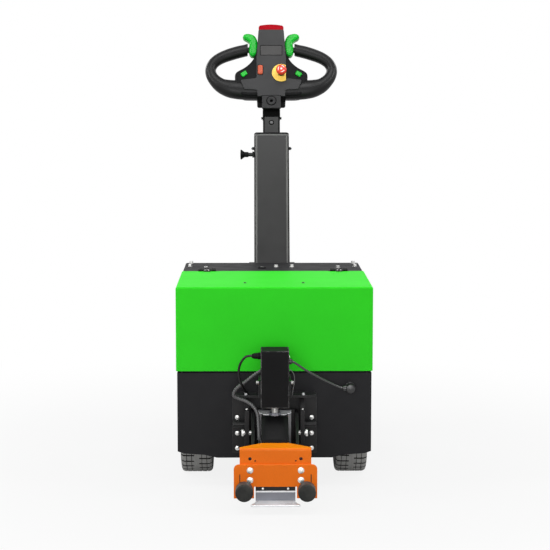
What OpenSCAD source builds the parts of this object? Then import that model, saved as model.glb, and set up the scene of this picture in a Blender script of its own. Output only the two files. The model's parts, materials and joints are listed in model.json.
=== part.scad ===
// Walk-behind electric tug: two driven wheels and a rear castor carry a sheet-metal body with a
// hinged hood, a telescopic tiller that tilts at the rear and a coupler that lifts at the front.
// Millimetres. +Z up, -Y towards the coupler, +Y towards the tiller, floor at z = 0.

/* [Body] */
// Width of the hood over its side panels
hood_w = 540; // [500:5:600]
// Length of the hood, front to back
hood_l = 386; // [370:2:420]
// Height of the hood
hood_h = 232; // [215:1:260]
// Length of the black deck behind the hood
deck_l = 265; // [255:5:320]
// Height of the side skirts above the floor
skirt_z = 99; // [90:1:110]
// Height of the lower body, skirt to upper rim
skirt_h = 220; // [210:1:235]
// How far the front panel drops below the skirts at its middle
keel_drop = 18; // [8:1:30]
// Gap between the hood and the lower body
panel_gap = 5; // [5:0.5:8]
// Thickness of the sheet panels
sheet = 3.5; // [3:0.5:5]

/* [Wheels] */
// Outside diameter of the drive tyres
tyre_d = 266; // [256:2:276]
// Width of a drive tyre
tyre_w = 90; // [80:1:94]
// Outer face of a drive tyre inside the hood's side panel
wheel_inset = 7; // [6:0.5:10]
// Axle line behind the middle of the hood
axle_back = 7; // [-3:1:17]
// Diameter of the rim's bead seat
rim_d = 104; // [96:2:112]
// Outside diameter of the castor wheel
castor_d = 150; // [130:2:156]
// Width of the castor wheel
castor_w = 38; // [32:1:42]
// Height of the castor's head, from the top of its tyre to the floor plate
castor_head = 55; // [52:1:60]
// Castor trail, axle behind the swivel axis
castor_trail = 45; // [35:1:48]

/* [Tiller] */
// Lean of the tiller from upright, at rest
lean = 22; // [18:1:26]
// Width of the outer column
column_w = 111; // [100:1:120]
// Depth of the outer column, front to back
column_d = 60; // [56:1:66]
// Top of the outer column above the tilt axis, along the tiller
column_top = 383; // [340:1:410]
// Width of the inner tube
tube_w = 54; // [48:1:58]
// Inner tube seen between the column and the head
tube_shown = 82; // [80:1:120]

/* [Control head] */
// Width over the two loop handles
head_w = 428; // [400:2:460]
// Diameter of the loop handles' tube at the sides
grip_d = 35; // [30:1:38]
// Diameter of the loop handles' tube at its cut upper end
stub_d = 39; // [34:1:42]
// Height of the loop handles' lower bar
bar_d = 63; // [54:1:66]
// Width of the console at its upper end
console_w = 82; // [76:1:90]
// Height of the head, clamp to red switch
head_h = 294; // [286:1:302]
// Diameter of the yellow stop plate
stop_d = 60; // [50:1:62]

/* [Coupler] */
// Reach of the buffers in front of the hood's face
reach = 300; // [290:1:320]
// Width of the orange front plate
plate_w = 218; // [204:2:236]
// Width of the orange folded head
fold_w = 187; // [178:1:196]
// Height of the front plate's legs above the floor
leg_z = 32; // [28:1:40]
// Upper edge of the front plate
plate_top = 122; // [118:1:126]
// Top of the orange fold
fold_z = 164; // [160:1:168]
// Distance between the two accessory holes
hole_pitch = 133; // [124:1:140]
// Diameter of the accessory holes
hole_d = 9; // [6:0.5:11]
// Diameter of a rubber buffer
buffer_d = 46; // [40:1:50]
// Side of the square lift cover
cover_w = 76; // [72:1:82]
// Top of the lift cover
cover_top = 403; // [380:1:430]
// Upward travel of the coupler
lift_up = 20; // [10:1:22]
// Downward travel of the coupler
lift_down = 12; // [6:1:14]

/* [Hidden] */
$fn = 64;

// Body levels and walls
hood_lap = 3;
body_x = hood_w / 2 - hood_lap;
body_l = hood_l + deck_l;
rim_z = skirt_z + skirt_h;
hood_z = rim_z + panel_gap;
top_z = hood_z + hood_h;
deck_z = top_z - 4;
castor_h = castor_d + castor_head;
floor_z = castor_h;
bulkhead_y = hood_l + 8;
hinge_y = hood_l + 4;
hinge_z = top_z + 3;
hinge_x = hood_w / 2 - 75;
low_x = body_x - 101;

// Wheels
track = hood_w - 2 * wheel_inset - tyre_w;
axle_y = hood_l / 2 + axle_back;
tyre_r = tyre_d / 2;
rim_r = rim_d / 2;
axle_z = tyre_r;
arch_r = tyre_r + 16;
well_x = track / 2 - tyre_w / 2 - 6;
well_y = axle_y + arch_r + 8;
well_z = 2 * tyre_r + 16;
shaft_r = 30;
well_foot = axle_z - shaft_r - 4;
swivel_y = body_l - 141;

// Tiller, in its own frame: x across, z along the tiller from the tilt axis, -y its front
pivot_y = body_l + 55;
pivot_z = deck_z + 33;
wall = 4;
pin_r = 8;
foot_front = 50;
foot_back = 20;
tube_d = 40;
tube_bottom = column_top - 210;
plunger_u = column_top - 64;
head_u = column_top + tube_shown;
top_u = head_u + head_h;
head_back = 34;
belly_back = head_back - 6;

// Head stations, measured up from the clamp
loop_x = head_w / 2 - grip_d / 2;
stub_u = head_u + 213;
stub_x = 76;
stub_slope = 16;
bend_u = head_u + 150;
low_slope = 3;
low_r = 73.5;
bar_deep = 52;
console_x = console_w / 2;

// Coupler stations
plate_y = -(reach - 44);
fold_y = plate_y + 6;
head_back_y = plate_y + 71;
guide_y = -60;
guide_z = 165;
cheek_x = 70;
cheek_t = 11;
inner_x = 55;
inner_t = 8.5;
shelf_z = 268;
cover_y = -107;
cover_z = 249;
house_x = 36;
house_top = 223;
rod_r = 10;
rod_seat = 18;
lead_d = 6.5;
conduit_d = 10;

// Middle of the whole length, put at y = 0
mid_y = (-reach + pivot_y + top_u * sin(lean) + belly_back * cos(lean)) / 2;

// Catmull-Rom curve through a list of points
function mixed(a, b, c, d, t) =
    0.5 * (2 * b + (c - a) * t + (2 * a - 5 * b + 4 * c - d) * t * t
        + (3 * b - a - 3 * c + d) * t * t * t);
function curve(p, n) = [
    for (i = [0 : len(p) - 2], k = [0 : n - 1])
        mixed(p[max(i - 1, 0)], p[i], p[i + 1], p[min(i + 2, len(p) - 1)], k / n),
    p[len(p) - 1]
];

// Sweep of a round section along a path, with one radius for each station and a limit on its depth
function heading(p, i) =
    let(d = p[min(i + 1, len(p) - 1)] - p[max(i - 1, 0)]) d / norm(d);
function ring(p, i, r, ref, sides, deep) =
    let(t = heading(p, i), c = cross(t, ref), s = c / norm(c), u = cross(s, t), d = min(r, deep))
    [for (k = [0 : sides - 1]) p[i] + r * cos(360 * k / sides) * s + d * sin(360 * k / sides) * u];
module sweep(p, r, ref, sides, deep = 1000) {
    n = len(p);
    points = [for (i = [0 : n - 1]) each ring(p, i, r[i], ref, sides, deep)];
    around = [
        for (i = [0 : n - 2], k = [0 : sides - 1])
            let(a = i * sides, b = a + sides, m = (k + 1) % sides) [a + k, a + m, b + m, b + k]
    ];
    first = [[for (k = [0 : sides - 1]) sides - 1 - k]];
    last = [[for (k = [0 : sides - 1]) (n - 1) * sides + k]];
    polyhedron(points, concat(around, first, last), convexity = 6);
}
module cable(p, d, ref, n = 6, sides = 14) {
    path = curve(p, n);
    sweep(path, [for (q = path) d / 2], ref, sides);
}

// Rounded rectangle about the origin
module round_rect(w, h, r) {
    square([w - 2 * r, h], center = true);
    square([w, h - 2 * r], center = true);
    for (x = [-1, 1], y = [-1, 1])
        translate([x * (w / 2 - r), y * (h / 2 - r)]) circle(r);
}

// Plate drawn in the x-z plane, its front face at y
module xz_plate(y, t) {
    translate([0, y + t, 0]) rotate([90, 0, 0]) linear_extrude(t) children();
}

// Plate drawn in the y-z plane, its inner face at x
module yz_plate(x, t) {
    translate([x, 0, 0]) rotate([90, 0, 90]) linear_extrude(t) children();
}

module both_sides() {
    children();
    mirror([1, 0, 0]) children();
}

module box(x0, x1, y0, y1, z0, z1) {
    translate([x0, y0, z0]) cube([x1 - x0, y1 - y0, z1 - z0]);
}

module x_rod(x0, x1, y, z, r) {
    translate([x0, y, z]) rotate([0, 90, 0]) cylinder(h = x1 - x0, r = r);
}

module y_rod(x, y0, y1, z, r) {
    translate([x, y0, z]) rotate([-90, 0, 0]) cylinder(h = y1 - y0, r = r);
}

module tiller_frame() {
    translate([0, pivot_y, pivot_z]) rotate([-lean, 0, 0]) children();
}

// Part of the tiller drawn in its x-along plane, from front y0 to back y1
module head_slab(y0, y1) {
    translate([0, y1, 0]) rotate([90, 0, 0]) linear_extrude(y1 - y0) children();
}

module lower_body() {
    low = low_x;
    color([0.17, 0.17, 0.18]) difference() {
        union() {
            // front panel with its dropped middle, rear panel and side panels
            xz_plate(hood_lap, sheet)
                polygon([[-body_x, rim_z], [-body_x, skirt_z], [-body_x + 17, skirt_z - 0.33 * keel_drop],
                    [-low - 26, skirt_z - 0.55 * keel_drop], [-low + 8, skirt_z - keel_drop],
                    [low - 8, skirt_z - keel_drop], [low + 26, skirt_z - 0.55 * keel_drop],
                    [body_x - 17, skirt_z - 0.33 * keel_drop], [body_x, skirt_z], [body_x, rim_z]]);
            box(-body_x, body_x, body_l - sheet, body_l, skirt_z, rim_z);
            both_sides() box(body_x - sheet, body_x, hood_lap, body_l, skirt_z, rim_z);
            // stiffening fold along the front panel's lower edge
            box(-low + 8, low - 8, hood_lap, hood_lap + 22, skirt_z - keel_drop,
                skirt_z - keel_drop + sheet);
            // floor plate, full width behind the wheel wells
            box(-well_x, well_x, hood_lap, body_l, floor_z, floor_z + sheet);
            box(-body_x, body_x, well_y, body_l, floor_z, floor_z + sheet);
            both_sides() {
                box(well_x - sheet, well_x, hood_lap, well_y, well_foot, well_z);
                box(well_x - sheet, body_x, hood_lap, well_y, well_z - sheet, well_z);
                box(well_x - sheet, body_x, well_y - sheet, well_y, skirt_z, well_z);
                // return flange under the hood's edge
                box(body_x - 14, body_x, hood_lap, bulkhead_y - 12, rim_z - sheet, rim_z);
                box(body_x - 14, body_x - 14 + sheet, hood_lap, bulkhead_y - 12, rim_z - sheet, rim_z + 14);
            }
            box(-body_x, body_x, hood_lap, hood_lap + 14, rim_z - sheet, rim_z);
            box(-body_x + 14, body_x - 14, hood_lap + 14 - sheet, hood_lap + 14, rim_z - sheet, rim_z + 14);
        }
        both_sides() {
            x_rod(body_x - 2 * sheet, body_x + sheet, axle_y, axle_z, arch_r);
            x_rod(well_x - 2 * sheet, well_x + sheet, axle_y, axle_z, shaft_r);
        }
    }
}

module rear_cover() {
    side = hood_w / 2 - 1;
    color([0.24, 0.24, 0.25]) difference() {
        union() {
            box(-side, side, bulkhead_y, body_l, deck_z - sheet, deck_z);
            box(-side, side, body_l - sheet, body_l, rim_z, deck_z);
            both_sides() box(side - sheet, side, bulkhead_y, body_l, rim_z, deck_z);
            box(-side, side, bulkhead_y, bulkhead_y + sheet, rim_z, deck_z);
            box(-body_x + 2 * sheet, body_x - 2 * sheet, bulkhead_y, bulkhead_y + sheet,
                floor_z + sheet, rim_z);
        }
        translate([-32, hood_l + 115, deck_z - 2 * sheet]) cylinder(h = 3 * sheet, r = 9);
    }
}

module hinge_pins() {
    color([0.2, 0.2, 0.21]) for (s = [-1, 1]) {
        x_rod(s * hinge_x - 26, s * hinge_x + 26, hinge_y, hinge_z, 3);
        for (e = [-1, 1]) difference() {
            union() {
                x_rod(s * hinge_x + e * 19 - 7, s * hinge_x + e * 19 + 7, hinge_y, hinge_z, 5.5);
                box(s * hinge_x + e * 19 - 7, s * hinge_x + e * 19 + 7, hinge_y, bulkhead_y + 22,
                    deck_z, deck_z + 4);
                box(s * hinge_x + e * 19 - 7, s * hinge_x + e * 19 + 7, hinge_y, hinge_y + 5.5,
                    deck_z, hinge_z);
            }
            x_rod(s * hinge_x + e * 19 - 8, s * hinge_x + e * 19 + 8, hinge_y, hinge_z, 2.9);
        }
    }
}

module hood() {
    side = hood_w / 2;
    color([0.2, 0.83, 0.16]) difference() {
        union() {
            difference() {
                box(-side, side, 0, hood_l, hood_z, top_z);
                box(-side + hood_lap, side - hood_lap, hood_lap, hood_l + 1, hood_z - 1, top_z - hood_lap);
            }
            for (s = [-1, 1]) {
                x_rod(s * hinge_x - 10, s * hinge_x + 10, hinge_y, hinge_z, 5.5);
                box(s * hinge_x - 10, s * hinge_x + 10, hood_l - 16, hinge_y, top_z - 1, top_z + 4);
            }
        }
        for (s = [-1, 1]) {
            x_rod(s * hinge_x - 30, s * hinge_x + 30, hinge_y, hinge_z, 3.2);
            for (e = [-1, 1])
                box(s * hinge_x + e * 20.5 - 9.5, s * hinge_x + e * 20.5 + 9.5,
                    hood_l - 6, hood_l + 1, hood_z, top_z + 6);
        }
    }
}

// Two blocks that share the bay between the front panel and the bulkhead
module battery_pair() {
    x = well_x - 37;
    gap = 4;
    front = hood_lap + 37;
    block = (bulkhead_y - 12 - front - gap) / 2;
    color([0.13, 0.13, 0.14]) for (y = [front, front + block + gap])
        box(-x, x, y, y + block, floor_z + sheet, hood_z + 95.5);
}

module transaxle() {
    tube_x = track / 2 - 34;
    motor_x = well_x - 35;
    foot_x = well_x - 51;
    color([0.3, 0.31, 0.32]) difference() {
        union() {
            x_rod(-tube_x, tube_x, axle_y, axle_z, 24);
            x_rod(-52, 18, axle_y, axle_z, 46);
            x_rod(-52, 18, axle_y + 78, axle_z + 14, 36);
            box(-52, 18, axle_y, axle_y + 78, axle_z - 30, axle_z + 46);
            x_rod(18, motor_x, axle_y + 78, axle_z + 14, 44);
            for (x = [-foot_x - 12, foot_x])
                box(x, x + 12, axle_y - 30, axle_y + 30, axle_z - 4, floor_z);
        }
        both_sides() x_rod(tube_x - 70, tube_x + 1, axle_y, axle_z, 15.1);
    }
}

module key_switch() {
    color([0.1, 0.1, 0.11]) translate([-32, hood_l + 115, deck_z - 24]) {
        cylinder(h = 24, r = 8.8);
        translate([0, 0, 24]) difference() {
            cylinder(h = 4, r = 14);
            translate([0, 0, 2]) cylinder(h = 4, r = 8);
        }
    }
}

// Drive tyre section: crown, shoulder and sidewall as one closed curve
module tyre_section() {
    waist = rim_r + 0.55 * (tyre_r - rim_r);
    crown = tyre_r - waist;
    foot = 0.31 * tyre_w;
    upper = [
        for (i = [0 : 12])
            let(a = 90 * i / 12)
            [waist + crown * pow(sin(a), 0.4), tyre_w / 2 * pow(max(cos(a), 0), 0.2)]
    ];
    lower = [
        for (i = [1 : 5])
            let(s = i / 5) [waist - (waist - rim_r) * s, tyre_w / 2 - (tyre_w / 2 - foot) * s * s]
    ];
    half = concat([for (i = [len(lower) - 1 : -1 : 0]) lower[i]], upper);
    polygon(concat(half, [for (i = [len(half) - 2 : -1 : 0]) [half[i][0], -half[i][1]]]));
}

module tyre(s) {
    color([0.16, 0.16, 0.17]) translate([s * track / 2, axle_y, axle_z]) rotate([0, 90, 0])
        rotate_extrude() tyre_section();
}

module tyre_left() {
    tyre(-1);
}

module tyre_right() {
    tyre(1);
}

// Disc wheel with its shaft; the outer face is at +x for the right wheel
module rim(s) {
    seat = rim_r - 0.2;
    foot = 0.31 * tyre_w + 0.6;
    color([0.75, 0.76, 0.77]) translate([s * track / 2, axle_y, axle_z]) rotate([0, s * 90, 0])
        rotate_extrude()
            polygon([[0, -104], [15, -104], [15, -25], [24, -25], [24, 6], [seat - 7, 6], [seat - 7, -foot],
                [seat, -foot], [seat, foot], [seat - 7, foot], [seat - 7, 12], [24, 12], [24, 24], [0, 24]]);
}

module rim_left() {
    rim(-1);
}

module rim_right() {
    rim(1);
}

module castor_mount() {
    color([0.6, 0.61, 0.62]) translate([0, swivel_y, 0]) {
        translate([0, 0, castor_h - 6]) linear_extrude(6) round_rect(110, 110, 8);
        translate([0, 0, castor_h - 18]) cylinder(h = 12, r = 34);
        translate([0, 0, castor_h - 46]) cylinder(h = 40, r = 10);
        translate([0, 0, castor_h - 48]) cylinder(h = 6, r = 16);
    }
}

module castor_fork() {
    leg_x = castor_w / 2 + 7;
    crown_z = castor_h - 36;
    color([0.62, 0.63, 0.64]) translate([0, swivel_y, 0]) difference() {
        union() {
            translate([0, 0, crown_z]) cylinder(h = 12, r = 34);
            box(-leg_x - 5, leg_x + 5, -26, 26, crown_z, crown_z + 6);
            both_sides() yz_plate(leg_x, 5) hull() {
                translate([castor_trail, castor_d / 2]) circle(17);
                translate([-26, crown_z]) square([52, 6]);
            }
            x_rod(-leg_x - 9, leg_x + 9, castor_trail, castor_d / 2, 8);
        }
        translate([0, 0, crown_z - 1]) cylinder(h = 20, r = 10.1);
    }
}

module castor_tyre() {
    r = castor_d / 2;
    color([0.2, 0.2, 0.21]) translate([0, swivel_y + castor_trail, r]) rotate([0, 90, 0]) rotate_extrude()
        polygon(concat([[r - 18, -castor_w / 2 + 2], [r - 8, -castor_w / 2]],
            [for (i = [0 : 8]) let(a = 90 * i / 8 - 90)
                [r - 8 + 8 * cos(a), -castor_w / 2 + 8 + 8 * sin(a)]],
            [for (i = [0 : 8]) let(a = 90 * i / 8) [r - 8 + 8 * cos(a), castor_w / 2 - 8 + 8 * sin(a)]],
            [[r - 18, castor_w / 2 - 2]]));
}

module castor_hub() {
    r = castor_d / 2 - 18.2;
    color([0.7, 0.71, 0.72]) translate([0, swivel_y + castor_trail, castor_d / 2]) rotate([0, 90, 0])
        rotate_extrude()
            polygon([[8.1, -castor_w / 2 - 1], [20, -castor_w / 2 - 1], [20, -6], [r - 6, -6],
                [r - 6, -castor_w / 2 + 3], [r, -castor_w / 2 + 3], [r, castor_w / 2 - 3],
                [r - 6, castor_w / 2 - 3], [r - 6, 6], [20, 6], [20, castor_w / 2 + 1],
                [8.1, castor_w / 2 + 1]]);
}

module tiller_bracket() {
    lug_x = column_w / 2 - wall - 20;
    shelf = pivot_z - 41;
    color([0.15, 0.15, 0.16]) difference() {
        union() {
            box(-72, 72, body_l, body_l + 8, shelf - 112, shelf);
            box(-72, 72, body_l, pivot_y + 36, shelf - 8, shelf);
            both_sides() {
                yz_plate(62, 10) polygon([[body_l, shelf - 112], [body_l + 14, shelf - 112],
                    [pivot_y + 36, shelf - 8], [body_l, shelf - 8]]);
                x_rod(lug_x, lug_x + 12, pivot_y, pivot_z, 18);
                box(lug_x, lug_x + 12, pivot_y - 18, pivot_y + 18, shelf - 1, pivot_z);
            }
        }
        x_rod(-lug_x - 20, lug_x + 20, pivot_y, pivot_z, pin_r);
    }
}

module tiller_pin() {
    color([0.62, 0.63, 0.64])
        x_rod(-column_w / 2 + 0.5, column_w / 2 - 0.5, pivot_y, pivot_z, pin_r);
}

module tiller_column() {
    d = column_d / 2;
    w = column_w / 2;
    color([0.3, 0.3, 0.31]) tiller_frame() difference() {
        box(-w, w, -d, d, -foot_front, column_top);
        box(-w + wall, w - wall, -d + wall, d - wall, -foot_front - 1, column_top - 8);
        box(-tube_w / 2 - 0.5, tube_w / 2 + 0.5, -tube_d / 2 - 0.5, tube_d / 2 + 0.5, 0, column_top + 1);
        // foot cut on the slant, and a slot behind for the lugs
        yz_plate(-w - 1, 2 * w + 2)
            polygon([[-d, -foot_front - 1], [d + 1, -foot_front - 1], [d + 1, -foot_back], [-d, -foot_front]]);
        box(-w + wall, w - wall, 0, d + 1, -foot_front - 1, 22);
        x_rod(-w - 1, w + 1, 0, 0, pin_r + 0.1);
        x_rod(-w - 1, 0, 0, plunger_u, 6);
    }
}

module plunger() {
    color([0.1, 0.1, 0.11]) tiller_frame() translate([-column_w / 2, 0, plunger_u])
        rotate([0, -90, 0]) rotate_extrude()
            polygon([[0, -18], [5.8, -18], [5.8, 0], [11, 0], [11, 8], [7, 9], [7, 22], [10, 26], [15, 34],
                [16, 38], [14, 42], [9, 44], [0, 44.5]]);
}

module inner_tube() {
    w = tube_w / 2;
    d = tube_d / 2;
    color([0.33, 0.33, 0.34]) tiller_frame() difference() {
        box(-w, w, -d, d, tube_bottom, head_u + 60);
        box(-w + 3, w - 3, -d + 3, d - 3, tube_bottom - 1, head_u + 50);
    }
}

// Square socket on the front of the head that grips the inner tube
module head_clamp() {
    w = tube_w / 2;
    d = tube_d / 2;
    color([0.27, 0.27, 0.28]) tiller_frame() difference() {
        box(-w - 3, w + 3, -d - 14, -d - 3, head_u, head_u + 43);
        y_rod(0, -d - 15, -d - 7, head_u + 25, 9);
    }
}

module console_outline() {
    side = [
        [console_x + 5, head_u + 24], [console_x + 6, head_u + 40], [console_x + 50, head_u + 43],
        [console_x + 70, head_u + 62],
        for (i = [0 : 6]) let(a = -30 + 110 * i / 6)
            [console_x + 61 + 16 * cos(a), head_u + 118 + 16 * sin(a)],
        for (i = [0 : 8]) let(a = 250 - 70 * i / 8)
            [console_x + 72 + 64 * cos(a), head_u + 206 + 64 * sin(a)],
        [console_x, head_u + 275]
    ];
    polygon(concat(side, [for (i = [len(side) - 1 : -1 : 0]) [-side[i][0], side[i][1]]]));
}

module head_console() {
    color([0.13, 0.13, 0.14]) tiller_frame() difference() {
        head_slab(-23, head_back - 4) console_outline();
        box(-tube_w / 2, tube_w / 2, -tube_d / 2, tube_d / 2, head_u - 1, head_u + 60);
    }
}

// Lighter T-shaped front cover of the console
module console_cover() {
    x = console_x;
    color([0.27, 0.27, 0.28]) tiller_frame() difference() {
        head_slab(-30, -23)
            polygon([[-x, head_u + 274], [x, head_u + 274], [x + 7, head_u + 175], [x + 7, head_u + 105],
                [x + 59, head_u + 99], [x + 46, head_u + 67], [x + 5, head_u + 64], [x + 3, head_u + 34],
                [-x - 3, head_u + 34], [-x - 5, head_u + 64], [-x - 46, head_u + 67], [-x - 59, head_u + 99],
                [-x - 7, head_u + 105], [-x - 7, head_u + 175]]);
        box(-tube_w / 2 - 3, tube_w / 2 + 3, -31, -22, head_u, head_u + 43);
        // recess of the blank plate
        box(-36, 36, -31, -29, head_u + 183, head_u + 219);
    }
}

// Loop handle on the -x side: cut stub, outer bend, thick lower bar into the console
module loop() {
    s = stub_slope;
    r1 = (stub_u - bend_u - (loop_x - stub_x) * tan(s)) / (cos(s) - tan(s) + sin(s) * tan(s));
    bend = [for (i = [0 : 9]) let(a = 180 + s + (90 - s) * i / 9)
        [-loop_x + r1 + r1 * sin(a), 0, bend_u - r1 * cos(a)]];
    under = [for (i = [1 : 10]) let(a = 270 + (90 - low_slope) * i / 10)
        [-loop_x + low_r + low_r * sin(a), 0, bend_u - low_r * cos(a)]];
    knee = under[len(under) - 1];
    run = -40 - knee[0];
    bar = [for (i = [1 : 5]) knee + i / 5 * [run, 0, -run * tan(low_slope)]];
    path = concat([[-stub_x + 8, 0, stub_u + 8 * tan(s)], [-stub_x - 30, 0, stub_u - 30 * tan(s)]],
        bend, under, bar);
    radius = concat([stub_d, stub_d], [for (i = [0 : 9]) stub_d + (grip_d - stub_d) * i / 9],
        [for (i = [1 : 10]) grip_d + (bar_d - grip_d) * pow(i / 10, 1.8)], [for (i = [1 : 5]) bar_d]) / 2;
    sweep(path, radius, [0, 1, 0], 24, bar_deep / 2);
}

// Loop handle cut off where it meets the console
module seated_loop() {
    difference() {
        loop();
        head_slab(-head_back, head_back) console_outline();
        // upright cut of the upper end
        box(-stub_x, 0, -head_back, head_back, bend_u + 20, stub_u + 60);
    }
}

module loop_left() {
    color([0.12, 0.12, 0.13]) tiller_frame() seated_loop();
}

module loop_right() {
    color([0.12, 0.12, 0.13]) tiller_frame() mirror([1, 0, 0]) seated_loop();
}

module belly_switch() {
    x = console_x - 0.5;
    color([0.84, 0.08, 0.17]) tiller_frame() head_slab(-27, belly_back)
        polygon(concat([[-x, head_u + 275], [x, head_u + 275], [x, top_u - 10], [x - 1, top_u - 7]],
            [for (i = [1 : 15]) let(t = 1 - i / 8) [(x + 1) * t, top_u - 5 * t * t]],
            [[-x + 1, top_u - 7], [-x, top_u - 10]]));
}

module throttle() {
    u = head_u + 187;
    head_slab(-16, 14) difference() {
        union() {
            hull() {
                translate([-console_x - 17, u + 14]) circle(14);
                translate([-console_x - 17, u + 36]) circle(14);
            }
            hull() {
                translate([-console_x - 22, u + 69]) circle(14);
                translate([-console_x - 42, u + 73]) circle(9.5);
            }
            hull() {
                translate([-console_x - 17, u + 36]) circle(13);
                translate([-console_x - 20, u + 68]) circle(13);
            }
        }
        console_outline();
    }
}

module throttle_left() {
    color([0.12, 0.78, 0.27]) tiller_frame() throttle();
}

module throttle_right() {
    color([0.12, 0.78, 0.27]) tiller_frame() mirror([1, 0, 0]) throttle();
}

module thumb_buttons() {
    color([0.2, 0.8, 0.3]) tiller_frame() both_sides()
        translate([console_x + 47, -23, head_u + 121]) rotate([0, 35, 0]) rotate([90, 0, 0])
            linear_extrude(5) round_rect(20, 15, 3);
}

module rocker() {
    color([0.9, 0.3, 0.2]) tiller_frame() translate([-console_x + 4, -30, head_u + 134])
        rotate([90, 0, 0]) linear_extrude(4) round_rect(17, 34, 2);
}

module stop_plate() {
    color([0.94, 0.78, 0.3]) tiller_frame() intersection() {
        y_rod(console_x - 9, -33, -30, head_u + 122, stop_d / 2);
        box(-console_x, console_x + 6, -34, -29, head_u + 60, head_u + 200);
    }
}

module stop_button() {
    color([0.9, 0.27, 0.18]) tiller_frame() translate([console_x - 9, -33, head_u + 122]) rotate([90, 0, 0])
        rotate_extrude() polygon([[0, 0], [11, 0], [11, 21], [16, 22], [17, 26], [15, 31], [9, 34], [0, 35]]);
}

// Fixed bracket: back plate, slotted cheeks, shelf and the two arms that hold the lift cover
module hitch_bracket() {
    x1 = cheek_x + cheek_t;
    arm = cover_w / 2;
    color([0.15, 0.15, 0.16]) difference() {
        union() {
            box(-116, 116, hood_lap - 8, hood_lap, 96, shelf_z - 6);
            both_sides() {
                yz_plate(cheek_x, cheek_t)
                    polygon([[hood_lap - 8, 100], [-76, 100], [-76, 228], [-62, 232], [-44, shelf_z - 6],
                        [hood_lap - 8, shelf_z - 6]]);
                x_rod(x1, 113, -34, 183, 9);
                box(arm, arm + 6, -96, hood_lap, shelf_z, 314);
            }
            translate([0, 0, shelf_z - 6]) linear_extrude(6)
                polygon([[-112, hood_lap], [-112, -44], [-96, -62], [96, -62], [112, -44], [112, hood_lap]]);
        }
        both_sides() {
            x_rod(cheek_x - 1, x1 + 1, guide_y, guide_z + lift_up + 1, 6.5);
            x_rod(cheek_x - 1, x1 + 1, guide_y, guide_z - lift_down - 1, 6.5);
            box(cheek_x - 1, x1 + 1, guide_y - 6.5, guide_y + 6.5,
                guide_z - lift_down - 1, guide_z + lift_up + 1);
        }
    }
}

module lift_cover() {
    a = cover_w / 2;
    color([0.16, 0.16, 0.17]) difference() {
        translate([0, cover_y, cover_z]) linear_extrude(cover_top - cover_z) round_rect(2 * a, 2 * a, 5);
        translate([0, cover_y, cover_z - 1]) linear_extrude(cover_top - cover_z - 3)
            round_rect(2 * a - 7, 2 * a - 7, 3);
    }
}

module lift_motor() {
    a = cover_w / 2;
    color([0.5, 0.51, 0.52]) difference() {
        union() {
            translate([0, cover_y, cover_z + 10]) cylinder(h = cover_top - cover_z - 14, r = 24);
            translate([0, cover_y, cover_top - 46]) linear_extrude(42) round_rect(2 * a - 7, 2 * a - 7, 3);
        }
        translate([0, cover_y, cover_z]) cylinder(h = 118, r = rod_r + 0.1);
    }
}

module lift_rod() {
    color([0.7, 0.71, 0.72]) translate([0, cover_y, 0]) {
        translate([0, 0, house_top - rod_seat]) cylinder(h = rod_seat + 113, r = rod_r);
        translate([0, 0, house_top]) cylinder(h = 8, r = 17, $fn = 6);
    }
}

module carriage_frame() {
    color([0.17, 0.17, 0.18]) both_sides() yz_plate(inner_x, inner_t)
        polygon([[-16, 104], [-16, 221], [-76, 221], [head_back_y, fold_z - 5], [fold_y + 5, fold_z - 5],
            [fold_y + 5, 70], [-120, 70]]);
}

module carriage_plate() {
    color([0.66, 0.66, 0.67]) box(-inner_x, inner_x, -42, -36, 104, 224);
}

module latch_housing() {
    h = house_x;
    y1 = head_back_y;
    color([0.12, 0.12, 0.13]) difference() {
        hull() {
            box(-h, h, cover_y - 13, -42, 108, house_top - 9);
            box(-h + 9, h - 9, cover_y - 8, -42, 108, house_top);
            box(-h, h, y1, y1 + 4, 108, fold_z + 4);
        }
        translate([0, cover_y, house_top - rod_seat]) cylinder(h = 40, r = rod_r + 0.2);
    }
}

module coupler_head() {
    f = fold_w / 2;
    color([0.89, 0.44, 0.17]) difference() {
        union() {
            translate([0, 0, fold_z - 5]) linear_extrude(5)
                polygon([[-house_x, head_back_y], [-f, fold_y + 15], [-f, fold_y], [f, fold_y],
                    [f, fold_y + 15], [house_x, head_back_y]]);
            box(-f, f, fold_y, fold_y + 5, 64, fold_z);
        }
        both_sides() {
            y_rod(hole_pitch / 2, fold_y - 1, fold_y + 6, 136, hole_d / 2);
            y_rod(hole_pitch / 2 - 13.5, fold_y - 1, fold_y + 6, 130.5, 2.2);
        }
    }
}

module coupler_plate() {
    x = plate_w / 2;
    r = 13;
    color([0.89, 0.44, 0.17]) xz_plate(plate_y, 6) difference() {
        union() {
            translate([-x, leg_z]) square([2 * x, plate_top - r - leg_z]);
            translate([-x + r, leg_z]) square([2 * (x - r), plate_top - leg_z]);
            for (s = [-1, 1]) translate([s * (x - r), plate_top - r]) circle(r);
        }
        translate([-56, leg_z - 1]) square([112, 32]);
    }
}

module buffers() {
    r = buffer_d / 2;
    color([0.19, 0.2, 0.2]) for (s = [-1, 1])
        translate([s * (plate_w / 2 - 27.5), plate_y, 55.5]) rotate([90, 0, 0]) rotate_extrude()
            polygon(concat([[0, 0], [r - 2, 0]], [for (i = [0 : 5]) let(a = 90 * i / 5)
                [r - 5 + 5 * cos(a), 39 + 5 * sin(a)]], [[0, 44]]));
}

module jaw() {
    color([0.62, 0.63, 0.65]) {
        box(-52, 52, fold_y, fold_y + 6, 20, 64);
        translate([0, 0, 20]) linear_extrude(5)
            polygon([[-52, fold_y + 6], [52, fold_y + 6], [52, fold_y - 14], [66, -reach + 2],
                [-66, -reach + 2], [-52, fold_y - 14]]);
    }
}

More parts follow.
